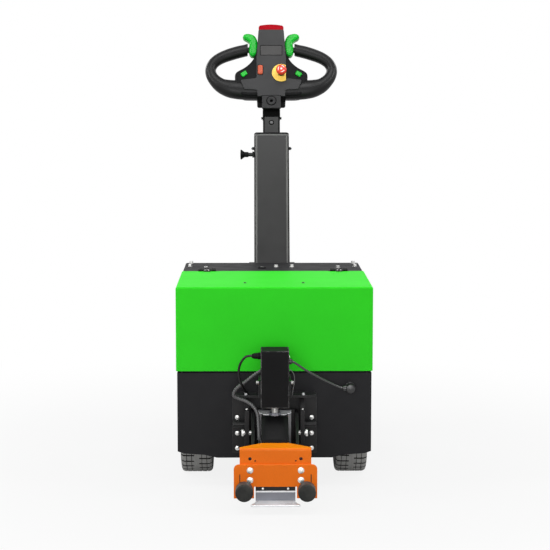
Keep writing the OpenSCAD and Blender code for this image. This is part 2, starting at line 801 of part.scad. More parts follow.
module guide_pins() {
    x0 = inner_x + inner_t;
    color([0.7, 0.71, 0.72]) both_sides() {
        x_rod(x0, cheek_x + cheek_t + 4, guide_y, guide_z, 6);
        x_rod(cheek_x + cheek_t + 3, cheek_x + cheek_t + 9, guide_y, guide_z, 10);
    }
}

// Motor lead looping from the gland on the cover's left side down to the shelf
module left_lead() {
    a = cover_w / 2;
    color([0.1, 0.1, 0.11]) {
        x_rod(-a - 8, -a, cover_y, 384, 10);
        x_rod(-a - 24, -a - 7, cover_y, 384, 8);
        cable([[-a - 20, cover_y, 384], [-a - 32, cover_y, 384], [-82, -106, 378], [-95, -100, 355],
            [-96, -92, 325], [-88, -84, 298], [-80, -66, 282], [-78, -50, shelf_z + 4]], lead_d, [0, 1, 0]);
        translate([-78, -48, shelf_z]) cylinder(h = 9, r = 8);
    }
}

// Lead from the cover's right side to the angled plug in the front panel
module right_lead() {
    a = cover_w / 2;
    color([0.1, 0.1, 0.11]) {
        x_rod(a, a + 9, cover_y, 369, 8);
        cable([[a + 5, cover_y, 369], [a + 14, cover_y + 1, 366], [86, -79, 339], [132, -51, 309],
            [178, -28, 284], [192, -25, 280]], lead_d, [0, 1, 0]);
        x_rod(186, 206, -24, 280, 8);
        y_rod(208, -38, hood_lap, 280, 13);
    }
}

// Ribbed conduit from behind the cover down beside the latch housing
module conduit() {
    a = cover_w / 2;
    behind = cover_y + a + conduit_d / 2 + 0.3;
    color([0.36, 0.36, 0.37])
        cable([[-a + 14, behind, 343], [-a + 4, behind, 338], [-54, -67, 326], [-78, -72, 308],
            [-104, -71, 288], [-111, -71, 270], [-98, -73, 262], [-76, -80, 255], [-58, -90, 243],
            [-47, -102, 226], [-44, -120, 203], [-43, -140, 181], [-43, -152, 167]],
            conduit_d, [0, 1, 0], 4);
}

// Whole length about y = 0
module placed() {
    translate([0, -mid_y, 0]) children();
}

placed() lower_body();
placed() rear_cover();
placed() hinge_pins();
placed() hood();
placed() battery_pair();
placed() transaxle();
placed() key_switch();
placed() tyre_left();
placed() tyre_right();
placed() rim_left();
placed() rim_right();
placed() castor_mount();
placed() castor_fork();
placed() castor_tyre();
placed() castor_hub();
placed() tiller_bracket();
placed() tiller_pin();
placed() tiller_column();
placed() plunger();
placed() inner_tube();
placed() head_clamp();
placed() head_console();
placed() console_cover();
placed() loop_left();
placed() loop_right();
placed() belly_switch();
placed() throttle_left();
placed() throttle_right();
placed() thumb_buttons();
placed() rocker();
placed() stop_plate();
placed() stop_button();
placed() hitch_bracket();
placed() lift_cover();
placed() lift_motor();
placed() lift_rod();
placed() carriage_frame();
placed() carriage_plate();
placed() latch_housing();
placed() coupler_head();
placed() coupler_plate();
placed() buffers();
placed() jaw();
placed() guide_pins();
placed() left_lead();
placed() right_lead();
placed() conduit();
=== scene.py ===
"""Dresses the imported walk-behind electric tug and sets it in a plain white studio.

Sizes in the classes are millimetres. The body is drawn with x across, y from the hood's front
face to the rear and z up from the floor. The tiller and its head are drawn in the tiller's own
frame, with z along the tiller from its tilt axis and -y its front.
"""
import json
import logging
import math
from dataclasses import dataclass
from enum import Enum
from functools import cached_property
from typing import Iterable, Sequence

import bmesh
import bpy
from mathutils import Matrix, Vector

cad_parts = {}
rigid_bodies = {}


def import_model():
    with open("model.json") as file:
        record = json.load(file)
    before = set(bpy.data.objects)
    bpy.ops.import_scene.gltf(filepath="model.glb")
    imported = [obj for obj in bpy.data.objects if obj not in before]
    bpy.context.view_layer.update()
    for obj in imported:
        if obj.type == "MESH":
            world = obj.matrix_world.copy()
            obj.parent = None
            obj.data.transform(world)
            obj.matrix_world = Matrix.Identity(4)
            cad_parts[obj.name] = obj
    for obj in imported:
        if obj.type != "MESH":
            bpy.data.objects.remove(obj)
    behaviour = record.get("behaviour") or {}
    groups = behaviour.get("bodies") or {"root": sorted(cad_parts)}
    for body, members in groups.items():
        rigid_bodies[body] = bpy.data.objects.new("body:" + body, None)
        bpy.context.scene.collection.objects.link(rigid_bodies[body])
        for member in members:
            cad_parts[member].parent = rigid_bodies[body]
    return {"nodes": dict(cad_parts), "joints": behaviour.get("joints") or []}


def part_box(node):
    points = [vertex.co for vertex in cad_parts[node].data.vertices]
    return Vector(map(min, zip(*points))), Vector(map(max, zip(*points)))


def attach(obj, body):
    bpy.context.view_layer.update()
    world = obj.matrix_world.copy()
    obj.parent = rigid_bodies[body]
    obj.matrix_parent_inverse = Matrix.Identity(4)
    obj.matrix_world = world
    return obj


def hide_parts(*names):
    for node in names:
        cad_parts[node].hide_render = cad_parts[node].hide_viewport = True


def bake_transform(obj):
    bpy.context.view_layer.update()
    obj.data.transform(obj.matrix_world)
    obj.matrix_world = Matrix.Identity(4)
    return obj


for leftover in list(bpy.data.objects):
    bpy.data.objects.remove(leftover)
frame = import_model()

MM = 0.001
SIDES = (-1, 1)
STRAIGHT = math.radians(174.0)
FLATTENING = 0.6
WELD = 0.001
SOLID_WELD = 0.02
SOLID_FLAT = math.radians(0.6)
SOLID_EDGE = math.radians(32.0)
UNIT = (0.0, 1.0)
MID_NOISE = (0.3, 0.7)
BROAD_SCALE = 9.0
FINE_SCALE = 420.0
FINE_SHARE = 0.4
DUST_SCALE = 34.0
WEAR_SCALE = 55.0
MARK_SCALE = 26.0
DRAWN_OUT = (1.0, 1.0, 0.04)
WHITE = (1.0, 1.0, 1.0, 1.0)
LOG = logging.getLogger("tug")

Point = tuple[float, float, float]
Flat = tuple[float, float]
Outline = list[Flat]
Shade = tuple[int, int, int]
Linear = tuple[float, float, float, float]
Socket = bpy.types.NodeSocket


def linear(colour: Shade, gain: float = 1.0) -> Linear:
    """Turn a display colour into a scene-linear one.

    Args:
        colour: red, green and blue from 0 to 255.
        gain: factor on the linear values.

    Returns:
        Linear red, green, blue and an alpha of 1.
    """
    shares = [part / 255.0 for part in colour]
    curved = [s / 12.92 if s <= 0.04045 else ((s + 0.055) / 1.055) ** 2.4 for s in shares]
    red, green, blue = (min(1.0, c * gain) for c in curved)
    return (red, green, blue, 1.0)


class Grain(Enum):
    """Kinds of fine surface relief."""

    ORANGE_PEEL = "orange peel of a gloss powder coat"
    WRINKLE = "fine wrinkle of a textured powder coat"
    MOULDED = "spark-eroded grain of a moulding"
    BRUSHED = "drawn or turned metal"
    CAST = "sand casting"
    RUBBER = "vulcanized rubber"
    PLATED = "zinc plate over rolled steel"


class Bench:
    """A node tree, with the steps that the finishes and the studio share."""

    def __init__(self, tree: bpy.types.NodeTree) -> None:
        """Take hold of a tree's nodes and links."""
        self.nodes = tree.nodes
        self.links = tree.links

    @cached_property
    def place(self) -> Socket:
        """The object's own coordinates."""
        return self.nodes.new("ShaderNodeTexCoord").outputs["Object"]

    def noise(self, scale: float, detail: float, place: Socket | None = None) -> Socket:
        """Add a noise field.

        Args:
            scale: features per metre.
            detail: octaves.
            place: coordinates that the field lives in, if not the object's own.

        Returns:
            The field's value from 0 to 1.
        """
        field = self.nodes.new("ShaderNodeTexNoise")
        field.inputs["Scale"].default_value = scale
        field.inputs["Detail"].default_value = detail
        self.links.new(self.place if place is None else place, field.inputs["Vector"])
        return field.outputs["Fac"]

    def spread(self, value: Socket, source: Flat, target: Flat) -> Socket:
        """Map a field from one range to another, held at both ends.

        Args:
            value: the field.
            source: range that is read.
            target: range that is given.

        Returns:
            The mapped field.
        """
        ranged = self.nodes.new("ShaderNodeMapRange")
        ranged.inputs["From Min"].default_value = source[0]
        ranged.inputs["From Max"].default_value = source[1]
        ranged.inputs["To Min"].default_value = target[0]
        ranged.inputs["To Max"].default_value = target[1]
        self.links.new(value, ranged.inputs["Value"])
        return ranged.outputs["Result"]

    def combine(self, operation: str, first: Socket, second: Socket) -> Socket:
        """Combine two fields by one step of arithmetic.

        Args:
            operation: name of the step.
            first: one field.
            second: the other field.

        Returns:
            The combined field.
        """
        step = self.nodes.new("ShaderNodeMath")
        step.operation = operation
        self.links.new(first, step.inputs[0])
        self.links.new(second, step.inputs[1])
        return step.outputs["Value"]

    def mix(self, share: Socket, first: Socket | Linear, second: Linear) -> Socket:
        """Mix two colours by a field.

        Args:
            share: field that gives the second colour's share.
            first: colour or colour socket at share 0.
            second: colour at share 1.

        Returns:
            The mixed colour.
        """
        mixed = self.nodes.new("ShaderNodeMix")
        mixed.data_type = "RGBA"
        colours = [socket for socket in mixed.inputs if socket.type == "RGBA"]
        self.links.new(share, mixed.inputs["Factor"])
        if isinstance(first, bpy.types.NodeSocket):
            self.links.new(first, colours[0])
        else:
            colours[0].default_value = first
        colours[1].default_value = second
        return next(socket for socket in mixed.outputs if socket.type == "RGBA")


@dataclass(frozen=True)
class Finish:
    """One surface finish, made as a node material the first time that it is used."""

    name: str
    slot: str
    colour: Shade
    grain: Grain
    roughness: float = 0.45
    metallic: float = 0.0
    cell: float = 1.2
    relief: float = 0.03
    mottle: float = 0.06
    specular: float = 0.5
    worn: float = 0.0
    rub: float = 1.6
    bare: Shade = (170, 170, 168)
    handled: float = 0.06
    dust: float = 0.0
    dust_colour: Shade = (142, 138, 130)

    def material(self) -> bpy.types.Material:
        """Give the finish's material, building its nodes once.

        Returns:
            The Blender material.
        """
        known = bpy.data.materials.get(self.name)
        if known is not None:
            return known
        made = bpy.data.materials.new(self.name)
        made.use_nodes = True
        bench = Bench(made.node_tree)
        shader = bench.nodes["Principled BSDF"]
        shader.inputs["Metallic"].default_value = self.metallic
        shader.inputs["Specular IOR Level"].default_value = self.specular
        colour = self._wear(bench, self._soil(bench, self._tint(bench)))
        bench.links.new(colour, shader.inputs["Base Color"])
        bench.links.new(self._sheen(bench), shader.inputs["Roughness"])
        bench.links.new(self._relief(bench), shader.inputs["Normal"])
        made.diffuse_color = linear(self.colour)
        return made

    def _tint(self, bench: Bench) -> Socket:
        """Vary the colour softly over a hand's width and finely over a few millimetres.

        Args:
            bench: the material's tree.

        Returns:
            The varied colour.
        """
        broad = bench.noise(BROAD_SCALE, 2.0)
        fine = bench.noise(FINE_SCALE / self.cell, 2.0)
        both = bench.combine("ADD", bench.spread(broad, UNIT, (0.0, 1.0 - FINE_SHARE)),
                             bench.spread(fine, UNIT, (0.0, FINE_SHARE)))
        share = bench.spread(both, MID_NOISE, UNIT)
        low = linear(self.colour, 1.0 - self.mottle)
        high = linear(self.colour, 1.0 + self.mottle)
        return bench.mix(share, low, high)

    def _soil(self, bench: Bench, colour: Socket) -> Socket:
        """Lay thin dust in patches.

        Args:
            bench: the material's tree.
            colour: colour beneath the dust.

        Returns:
            The dusty colour, or the colour itself where the finish has no dust.
        """
        if self.dust <= 0.0:
            return colour
        patches = bench.noise(DUST_SCALE, 5.0)
        share = bench.spread(patches, (0.4, 0.75), (0.15 * self.dust, self.dust))
        return bench.mix(share, colour, linear(self.dust_colour))

    def _wear(self, bench: Bench, colour: Socket) -> Socket:
        """Rub the edges through to the bare colour, in uneven patches.

        Args:
            bench: the material's tree.
            colour: colour of the whole finish.

        Returns:
            The worn colour, or the colour itself where the finish has no wear.
        """
        if self.worn <= 0.0:
            return colour
        soft = bench.nodes.new("ShaderNodeBevel")
        soft.samples = 4
        soft.inputs["Radius"].default_value = self.rub * MM
        across = bench.nodes.new("ShaderNodeVectorMath")
        across.operation = "DOT_PRODUCT"
        true_normal = bench.nodes.new("ShaderNodeNewGeometry").outputs["Normal"]
        bench.links.new(soft.outputs["Normal"], across.inputs[0])
        bench.links.new(true_normal, across.inputs[1])
        edge = bench.spread(across.outputs["Value"], (0.995, 0.9), (0.0, self.worn))
        uneven = bench.spread(bench.noise(WEAR_SCALE, 4.0), (0.38, 0.62), (0.15, 1.0))
        return bench.mix(bench.combine("MULTIPLY", edge, uneven), colour, linear(self.bare))

    def _sheen(self, bench: Bench) -> Socket:
        """Vary the roughness by handling and cleaning marks.

        Args:
            bench: the material's tree.

        Returns:
            The roughness.
        """
        low = max(0.05, self.roughness - self.handled)
        return bench.spread(bench.noise(MARK_SCALE, 4.0), MID_NOISE,
                            (low, self.roughness + self.handled))

    def _relief(self, bench: Bench) -> Socket:
        """Raise the grain of the finish.

        Args:
            bench: the material's tree.

        Returns:
            The bumped normal.
        """
        scale = 1.0 / (self.cell * MM)
        if self.grain in (Grain.WRINKLE, Grain.MOULDED, Grain.PLATED):
            cells = bench.nodes.new("ShaderNodeTexVoronoi")
            cells.feature = "SMOOTH_F1"
            cells.inputs["Scale"].default_value = scale
            bench.links.new(bench.place, cells.inputs["Vector"])
            height = cells.outputs["Distance"]
        elif self.grain is Grain.BRUSHED:
            drawn = bench.nodes.new("ShaderNodeMapping")
            drawn.inputs["Scale"].default_value = DRAWN_OUT
            bench.links.new(bench.place, drawn.inputs["Vector"])
            height = bench.noise(scale, 3.0, drawn.outputs["Vector"])
        else:
            octaves = {Grain.ORANGE_PEEL: 1.5, Grain.CAST: 6.0, Grain.RUBBER: 4.0}[self.grain]
            height = bench.noise(scale, octaves)
        bump = bench.nodes.new("ShaderNodeBump")
        bump.inputs["Strength"].default_value = 1.0
        bump.inputs["Distance"].default_value = self.relief * MM
        bench.links.new(height, bump.inputs["Height"])
        return bump.outputs["Normal"]


HOOD_GREEN = Finish(
    "hood_green_powder", "hood_green", (40, 205, 24), Grain.ORANGE_PEEL, 0.6, cell=1.4, relief=0.02,
    mottle=0.04, specular=0.17, handled=0.015)
BODY_BLACK = Finish(
    "body_black_powder", "body_black", (27, 27, 29), Grain.ORANGE_PEEL, 0.46, relief=0.025,
    mottle=0.1, specular=0.12, worn=0.25, bare=(84, 84, 85))
BRACKET_BLACK = Finish(
    "bracket_black_powder", "body_black", (25, 25, 26), Grain.WRINKLE, 0.42, cell=0.9, mottle=0.12,
    specular=0.2, worn=0.4, bare=(130, 130, 131))
DECK_BLACK = Finish(
    "deck_black_powder", "deck_black", (35, 35, 36), Grain.ORANGE_PEEL, 0.56, mottle=0.1,
    specular=0.04, worn=0.3, bare=(110, 110, 110))
COLUMN_GREY = Finish(
    "column_grey_powder", "column_grey", (33, 33, 33), Grain.ORANGE_PEEL, 0.34, cell=1.3,
    relief=0.025, specular=0.32, worn=0.35, bare=(140, 140, 140))
# Lighter grey on the front of the column's bends and in a band under its cap: painted highlight.
COLUMN_BEND_HIGHLIGHT = Finish(
    "column_rubbed_bend", "column_grey", (94, 94, 93), Grain.ORANGE_PEEL, 0.4, cell=1.3,
    relief=0.025, mottle=0.2, specular=0.2)
# Near-black on the sides of the column and of the sliding tube: painted shade.
COLUMN_SIDE_SHADE = Finish(
    "column_side_powder", "column_grey", (15, 15, 15), Grain.ORANGE_PEEL, 0.55, cell=1.3,
    relief=0.025, specular=0.03)
TUBE_BLACK = Finish(
    "tube_black_powder", "column_grey", (40, 40, 40), Grain.ORANGE_PEEL, 0.36, cell=1.1,
    relief=0.02, specular=0.22, worn=0.2, bare=(120, 120, 120))
ORANGE = Finish(
    "coupler_orange_powder", "orange", (229, 110, 16), Grain.ORANGE_PEEL, 0.42, cell=1.3,
    relief=0.025, specular=0.12, worn=0.35, bare=(250, 190, 110))
# Lighter, yellower orange for the head's top flange: the same paint, painted as lit from above.
ORANGE_FLANGE_LIT = Finish(
    "flange_orange_powder", "orange", (238, 134, 8), Grain.ORANGE_PEEL, 0.42, cell=1.3,
    relief=0.025, specular=0.1)
HOUSING_BLACK = Finish(
    "housing_black_gloss", "body_black", (14, 14, 15), Grain.ORANGE_PEEL, 0.44, relief=0.02,
    mottle=0.1, specular=0.07, worn=0.2, bare=(80, 80, 80))
SHROUD_BLACK = Finish(
    "shroud_black_powder", "body_black", (21, 21, 22), Grain.WRINKLE, 0.6, cell=0.9, mottle=0.12,
    specular=0.06, worn=1.0, bare=(150, 150, 150), rub=3.6)
# Near-black that is painted shade: the sleeve under the head, the pad below the console, the ring round
# the tube's stop, and the clamp's socket and ring.
SHADE_BLACK = Finish(
    "sleeve_black", "moulded_black", (4, 4, 4), Grain.RUBBER, 0.65, cell=0.8, relief=0.02,
    mottle=0.1, specular=0.03)
ZINC = Finish(
    "zinc_fastener", "zinc", (206, 206, 204), Grain.PLATED, 0.33, 0.9, cell=0.8, relief=0.02,
    mottle=0.08)
ZINC_SHEET = Finish(
    "zinc_sheet", "zinc", (176, 177, 178), Grain.PLATED, 0.42, 0.6, cell=2.4, relief=0.015,
    mottle=0.1)
GUIDE_PLATE = Finish(
    "guide_plate_zinc", "zinc", (172, 173, 175), Grain.BRUSHED, 0.44, 0.25, cell=0.8, relief=0.015,
    mottle=0.08)
HOOK_STEEL = Finish(
    "hook_steel", "zinc", (112, 114, 121), Grain.BRUSHED, 0.4, 0.45, cell=0.7, relief=0.02,
    mottle=0.14)
# Near-white zinc for the jaw's upper edge and lip and the flange over the housing: zinc, lightened as a
# painted highlight.
LIP_ZINC_HIGHLIGHT = Finish(
    "lip_zinc", "zinc", (226, 228, 230), Grain.PLATED, 0.3, 0.25, cell=1.4, relief=0.015)
CAST_IRON = Finish(
    "cast_housing", "cast", (74, 76, 78), Grain.CAST, 0.55, 0.35, cell=2.2, relief=0.12, mottle=0.1)
BATTERY = Finish(
    "battery_shell", "battery_case", (34, 35, 38), Grain.MOULDED, 0.5, cell=0.8, mottle=0.08,
    specular=0.3)
# Pale grey for the tyre's tread crown: dust, and lighter still as painted light.
TREAD_DUST_AND_LIGHT = Finish(
    "tread_rubber", "tyre_rubber", (148, 148, 146), Grain.RUBBER, 0.72, cell=1.6, relief=0.06,
    mottle=0.14, specular=0.25, dust=0.4, dust_colour=(150, 149, 146))
# Near-black for the tread's grooves and the sidewalls: painted shade.
GROOVE_RUBBER_SHADE = Finish(
    "groove_rubber", "tyre_rubber", (18, 18, 18), Grain.RUBBER, 0.8, cell=1.6, relief=0.06,
    mottle=0.14, specular=0.1)
RUBBER = Finish(
    "buffer_rubber", "rubber", (28, 30, 29), Grain.RUBBER, 0.62, cell=1.4, relief=0.05, mottle=0.1,
    specular=0.18, dust=0.1)
# Paler rubber for the buffers' sides: painted light.
BUFFER_SIDE_LIT = Finish(
    "buffer_bloom", "rubber", (52, 54, 53), Grain.RUBBER, 0.58, cell=1.4, relief=0.05, mottle=0.1,
    specular=0.25, dust=0.1)
WHEEL_METAL = Finish(
    "wheel_silver", "wheel_metal", (186, 188, 190), Grain.CAST, 0.42, 0.5, cell=1.6, relief=0.04,
    mottle=0.08, dust=0.12)
MOULDED = Finish(
    "console_moulding", "moulded_black", (15, 15, 16), Grain.MOULDED, 0.44, cell=0.6, relief=0.025,
    mottle=0.08, specular=0.08)
GRIP = Finish(
    "grip_rubber", "moulded_black", (10, 10, 11), Grain.RUBBER, 0.4, cell=0.9, relief=0.04,
    mottle=0.08, specular=0.22)
COVER_GREY = Finish(
    "console_lid_grey", "cover_grey", (50, 50, 51), Grain.MOULDED, 0.46, cell=0.6, relief=0.025,
    specular=0.18)
CLAMP_GREY = Finish(
    "clamp_grey", "cover_grey", (44, 44, 45), Grain.MOULDED, 0.46, cell=0.6, relief=0.025,
    specular=0.15)
NAME_PLATE = Finish(
    "blank_plate", "cover_grey", (58, 57, 57), Grain.BRUSHED, 0.38, cell=0.6, relief=0.01,
    specular=0.2)
RED = Finish(
    "belly_red", "red", (160, 0, 20), Grain.MOULDED, 0.34, cell=0.7, relief=0.015, specular=0.04)
GREEN_PLASTIC = Finish(
    "throttle_green", "green_plastic", (10, 174, 40), Grain.MOULDED, 0.2, cell=0.6, relief=0.008,
    specular=0.2)
STOP_RED = Finish(
    "stop_knob_red", "stop_red", (224, 56, 34), Grain.MOULDED, 0.32, cell=0.6, relief=0.01,
    specular=0.4)
ROCKER_RED = Finish(
    "rocker_red", "stop_red", (186, 84, 56), Grain.MOULDED, 0.34, cell=0.6, relief=0.01,
    specular=0.2)
STOP_YELLOW = Finish(
    "stop_disc_yellow", "stop_yellow", (246, 208, 96), Grain.MOULDED, 0.42, cell=0.6, relief=0.01,
    mottle=0.05, specular=0.25)
MARK_WHITE = Finish(
    "mark_white", "stop_red", (240, 224, 216), Grain.MOULDED, 0.4, cell=0.6, relief=0.01,
    mottle=0.03)
CONDUIT = Finish(
    "conduit_sheath", "conduit_grey", (74, 74, 75), Grain.MOULDED, 0.38, cell=0.7, relief=0.02,
    mottle=0.1)
LEAD = Finish(
    "lead_sheath", "conduit_grey", (38, 38, 39), Grain.RUBBER, 0.26, cell=0.7, relief=0.02,
    mottle=0.08, specular=0.7)
LEAD_BLACK = Finish(
    "lead_sheath_black", "conduit_grey", (15, 15, 16), Grain.RUBBER, 0.34, cell=0.7, relief=0.02,
    mottle=0.08, specular=0.3)
PLUG_GREY = Finish(
    "plug_moulding", "conduit_grey", (34, 34, 35), Grain.MOULDED, 0.3, cell=0.6, relief=0.02,
    mottle=0.08)
WIRE = Finish(
    "wire_sheath", "conduit_grey", (120, 120, 121), Grain.RUBBER, 0.34, cell=0.7, relief=0.01,
    mottle=0.08)
STOP_STEEL = Finish(
    "stop_steel", "zinc", (74, 74, 75), Grain.PLATED, 0.4, 0.2, cell=0.7, relief=0.01, mottle=0.08)
SCREW_BLACK = Finish(
    "screw_black", "moulded_black", (26, 26, 27), Grain.BRUSHED, 0.38, 0.6, cell=0.5, relief=0.01,
    mottle=0.1)


class Head(Enum):
    """Kinds of fastener head."""

    HEX = "hexagon head on a washer"
    DOME = "button head with a hexagon socket"
    CARRIAGE = "plain round head"


def turns(count: int) -> list[float]:
    """Divide a full turn evenly, in radians."""
    return [2 * math.pi * k / count for k in range(count)]


def arc(centre: Flat, radius: float, start: float, end: float, steps: int) -> Outline:
    """Draw points along an arc.

    Args:
        centre: middle of the arc.
        radius: its radius.
        start: first angle in degrees.
        end: last angle in degrees.
        steps: count of segments.

    Returns:
        The points, both ends included.
    """
    angles = [math.radians(start + (end - start) * i / steps) for i in range(steps + 1)]
    return [(centre[0] + radius * math.cos(a), centre[1] + radius * math.sin(a)) for a in angles]


def circle(centre: Flat, radius: float, steps: int = 48) -> Outline:
    """Draw a closed circle as points, without repeating the first."""
    return arc(centre, radius, 0.0, 360.0, steps)[:-1]


def rounded(corners: Sequence[Flat], radius: float, steps: int = 5) -> Outline:
    """Round every corner of a polygon by an arc.

    Args:
        corners: the polygon.
        radius: largest radius; short sides get a smaller one.
        steps: segments for each corner.

    Returns:
        The rounded outline.
    """
    result: Outline = []
    count = len(corners)
    for i, corner in enumerate(corners):
        here = Vector(corner)
        back = Vector(corners[i - 1]) - here
        ahead = Vector(corners[(i + 1) % count]) - here
        angle = back.angle(ahead)
        if angle > STRAIGHT:
            result.append((here.x, here.y))
            continue
        cut = min(radius / math.tan(angle / 2), 0.45 * back.length, 0.45 * ahead.length)
        bend = cut * math.tan(angle / 2)
        start = here + back.normalized() * cut
        end = here + ahead.normalized() * cut
        inward = (back.normalized() + ahead.normalized()).normalized()
        middle = here + inward * math.hypot(cut, bend)
        first = math.atan2(start.y - middle.y, start.x - middle.x)
        turn = math.atan2(end.y - middle.y, end.x - middle.x) - first
        turn = (turn + math.pi) % (2 * math.pi) - math.pi
        for k in range(steps + 1):
            a = first + turn * k / steps
            result.append((middle.x + bend * math.cos(a), middle.y + bend * math.sin(a)))
    return result


def rectangle(x0: float, x1: float, y0: float, y1: float, radius: float) -> Outline:
    """Draw a rectangle with rounded corners."""
    return rounded([(x0, y0), (x1, y0), (x1, y1), (x0, y1)], radius)


def mirrored(half: Sequence[Flat]) -> Outline:
    """Close half an outline by its mirror image."""
    return [*half, *((-x, y) for x, y in reversed(half))]


def curve_through(points: Sequence[Sequence[float]], steps: int) -> list[Vector]:
    """Run a Catmull-Rom curve through points.

    Args:
        points: the points, of any dimension.
        steps: samples for each span.

    Returns:
        The sampled curve.
    """
    held = [Vector(p) for p in points]
    result: list[Vector] = []
    last = len(held) - 1
    for i in range(last):
        a, b = held[max(i - 1, 0)], held[i]
        c, d = held[i + 1], held[min(i + 2, last)]
        for k in range(steps):
            t = k / steps
            result.append(0.5 * (2 * b + (c - a) * t + (2 * a - 5 * b + 4 * c - d) * t * t
                                 + (3 * b - a - 3 * c + d) * t * t * t))
    result.append(held[last])
    return result


def flat_rings(path: Sequence[Point], radii: Sequence[float], deep: float,
               sides: int) -> list[list[Vector]]:
    """Set rings along a path that lies in the x-z plane, limited in depth.

    Args:
        path: the middle line.
        radii: radius at each point.
        deep: largest half depth along y.
        sides: points of each ring.

    Returns:
        The rings.
    """
    line = [Vector(p) for p in path]
    last = len(line) - 1
    rings: list[list[Vector]] = []
    for i, point in enumerate(line):
        now = (line[min(i + 1, last)] - line[max(i - 1, 0)]).normalized()
        across = now.cross(Vector((0.0, 1.0, 0.0)))
        flat = deep - math.log(1 + math.exp((deep - radii[i]) * FLATTENING)) / FLATTENING
        rings.append([point + radii[i] * math.cos(a) * across
                      + Vector((0.0, flat * math.sin(a), 0.0)) for a in turns(sides)])
    return rings


def facing_front(y: float, x: float = 0.0, z: float = 0.0) -> Matrix:
    """Place a flat drawing upright about x and z, growing from y towards -y."""
    return Matrix(((1, 0, 0, x), (0, 0, -1, y), (0, 1, 0, z), (0, 0, 0, 1)))


def facing_side(x: float) -> Matrix:
    """Place a flat drawing in the y-z plane, growing from x towards +x."""
    return Matrix(((0, 0, 1, x), (1, 0, 0, 0), (0, 1, 0, 0), (0, 0, 0, 1)))


def facing_up(z: float) -> Matrix:
    """Place a flat drawing in the x-y plane, growing up from z."""
    return Matrix.Translation((0.0, 0.0, z))


def aimed(origin: Point, direction: Point) -> Matrix:
    """Place a turned drawing with its axis along a direction."""
    turn = Vector(direction).to_track_quat("Z", "Y").to_matrix().to_4x4()
    return Matrix.Translation(origin) @ turn


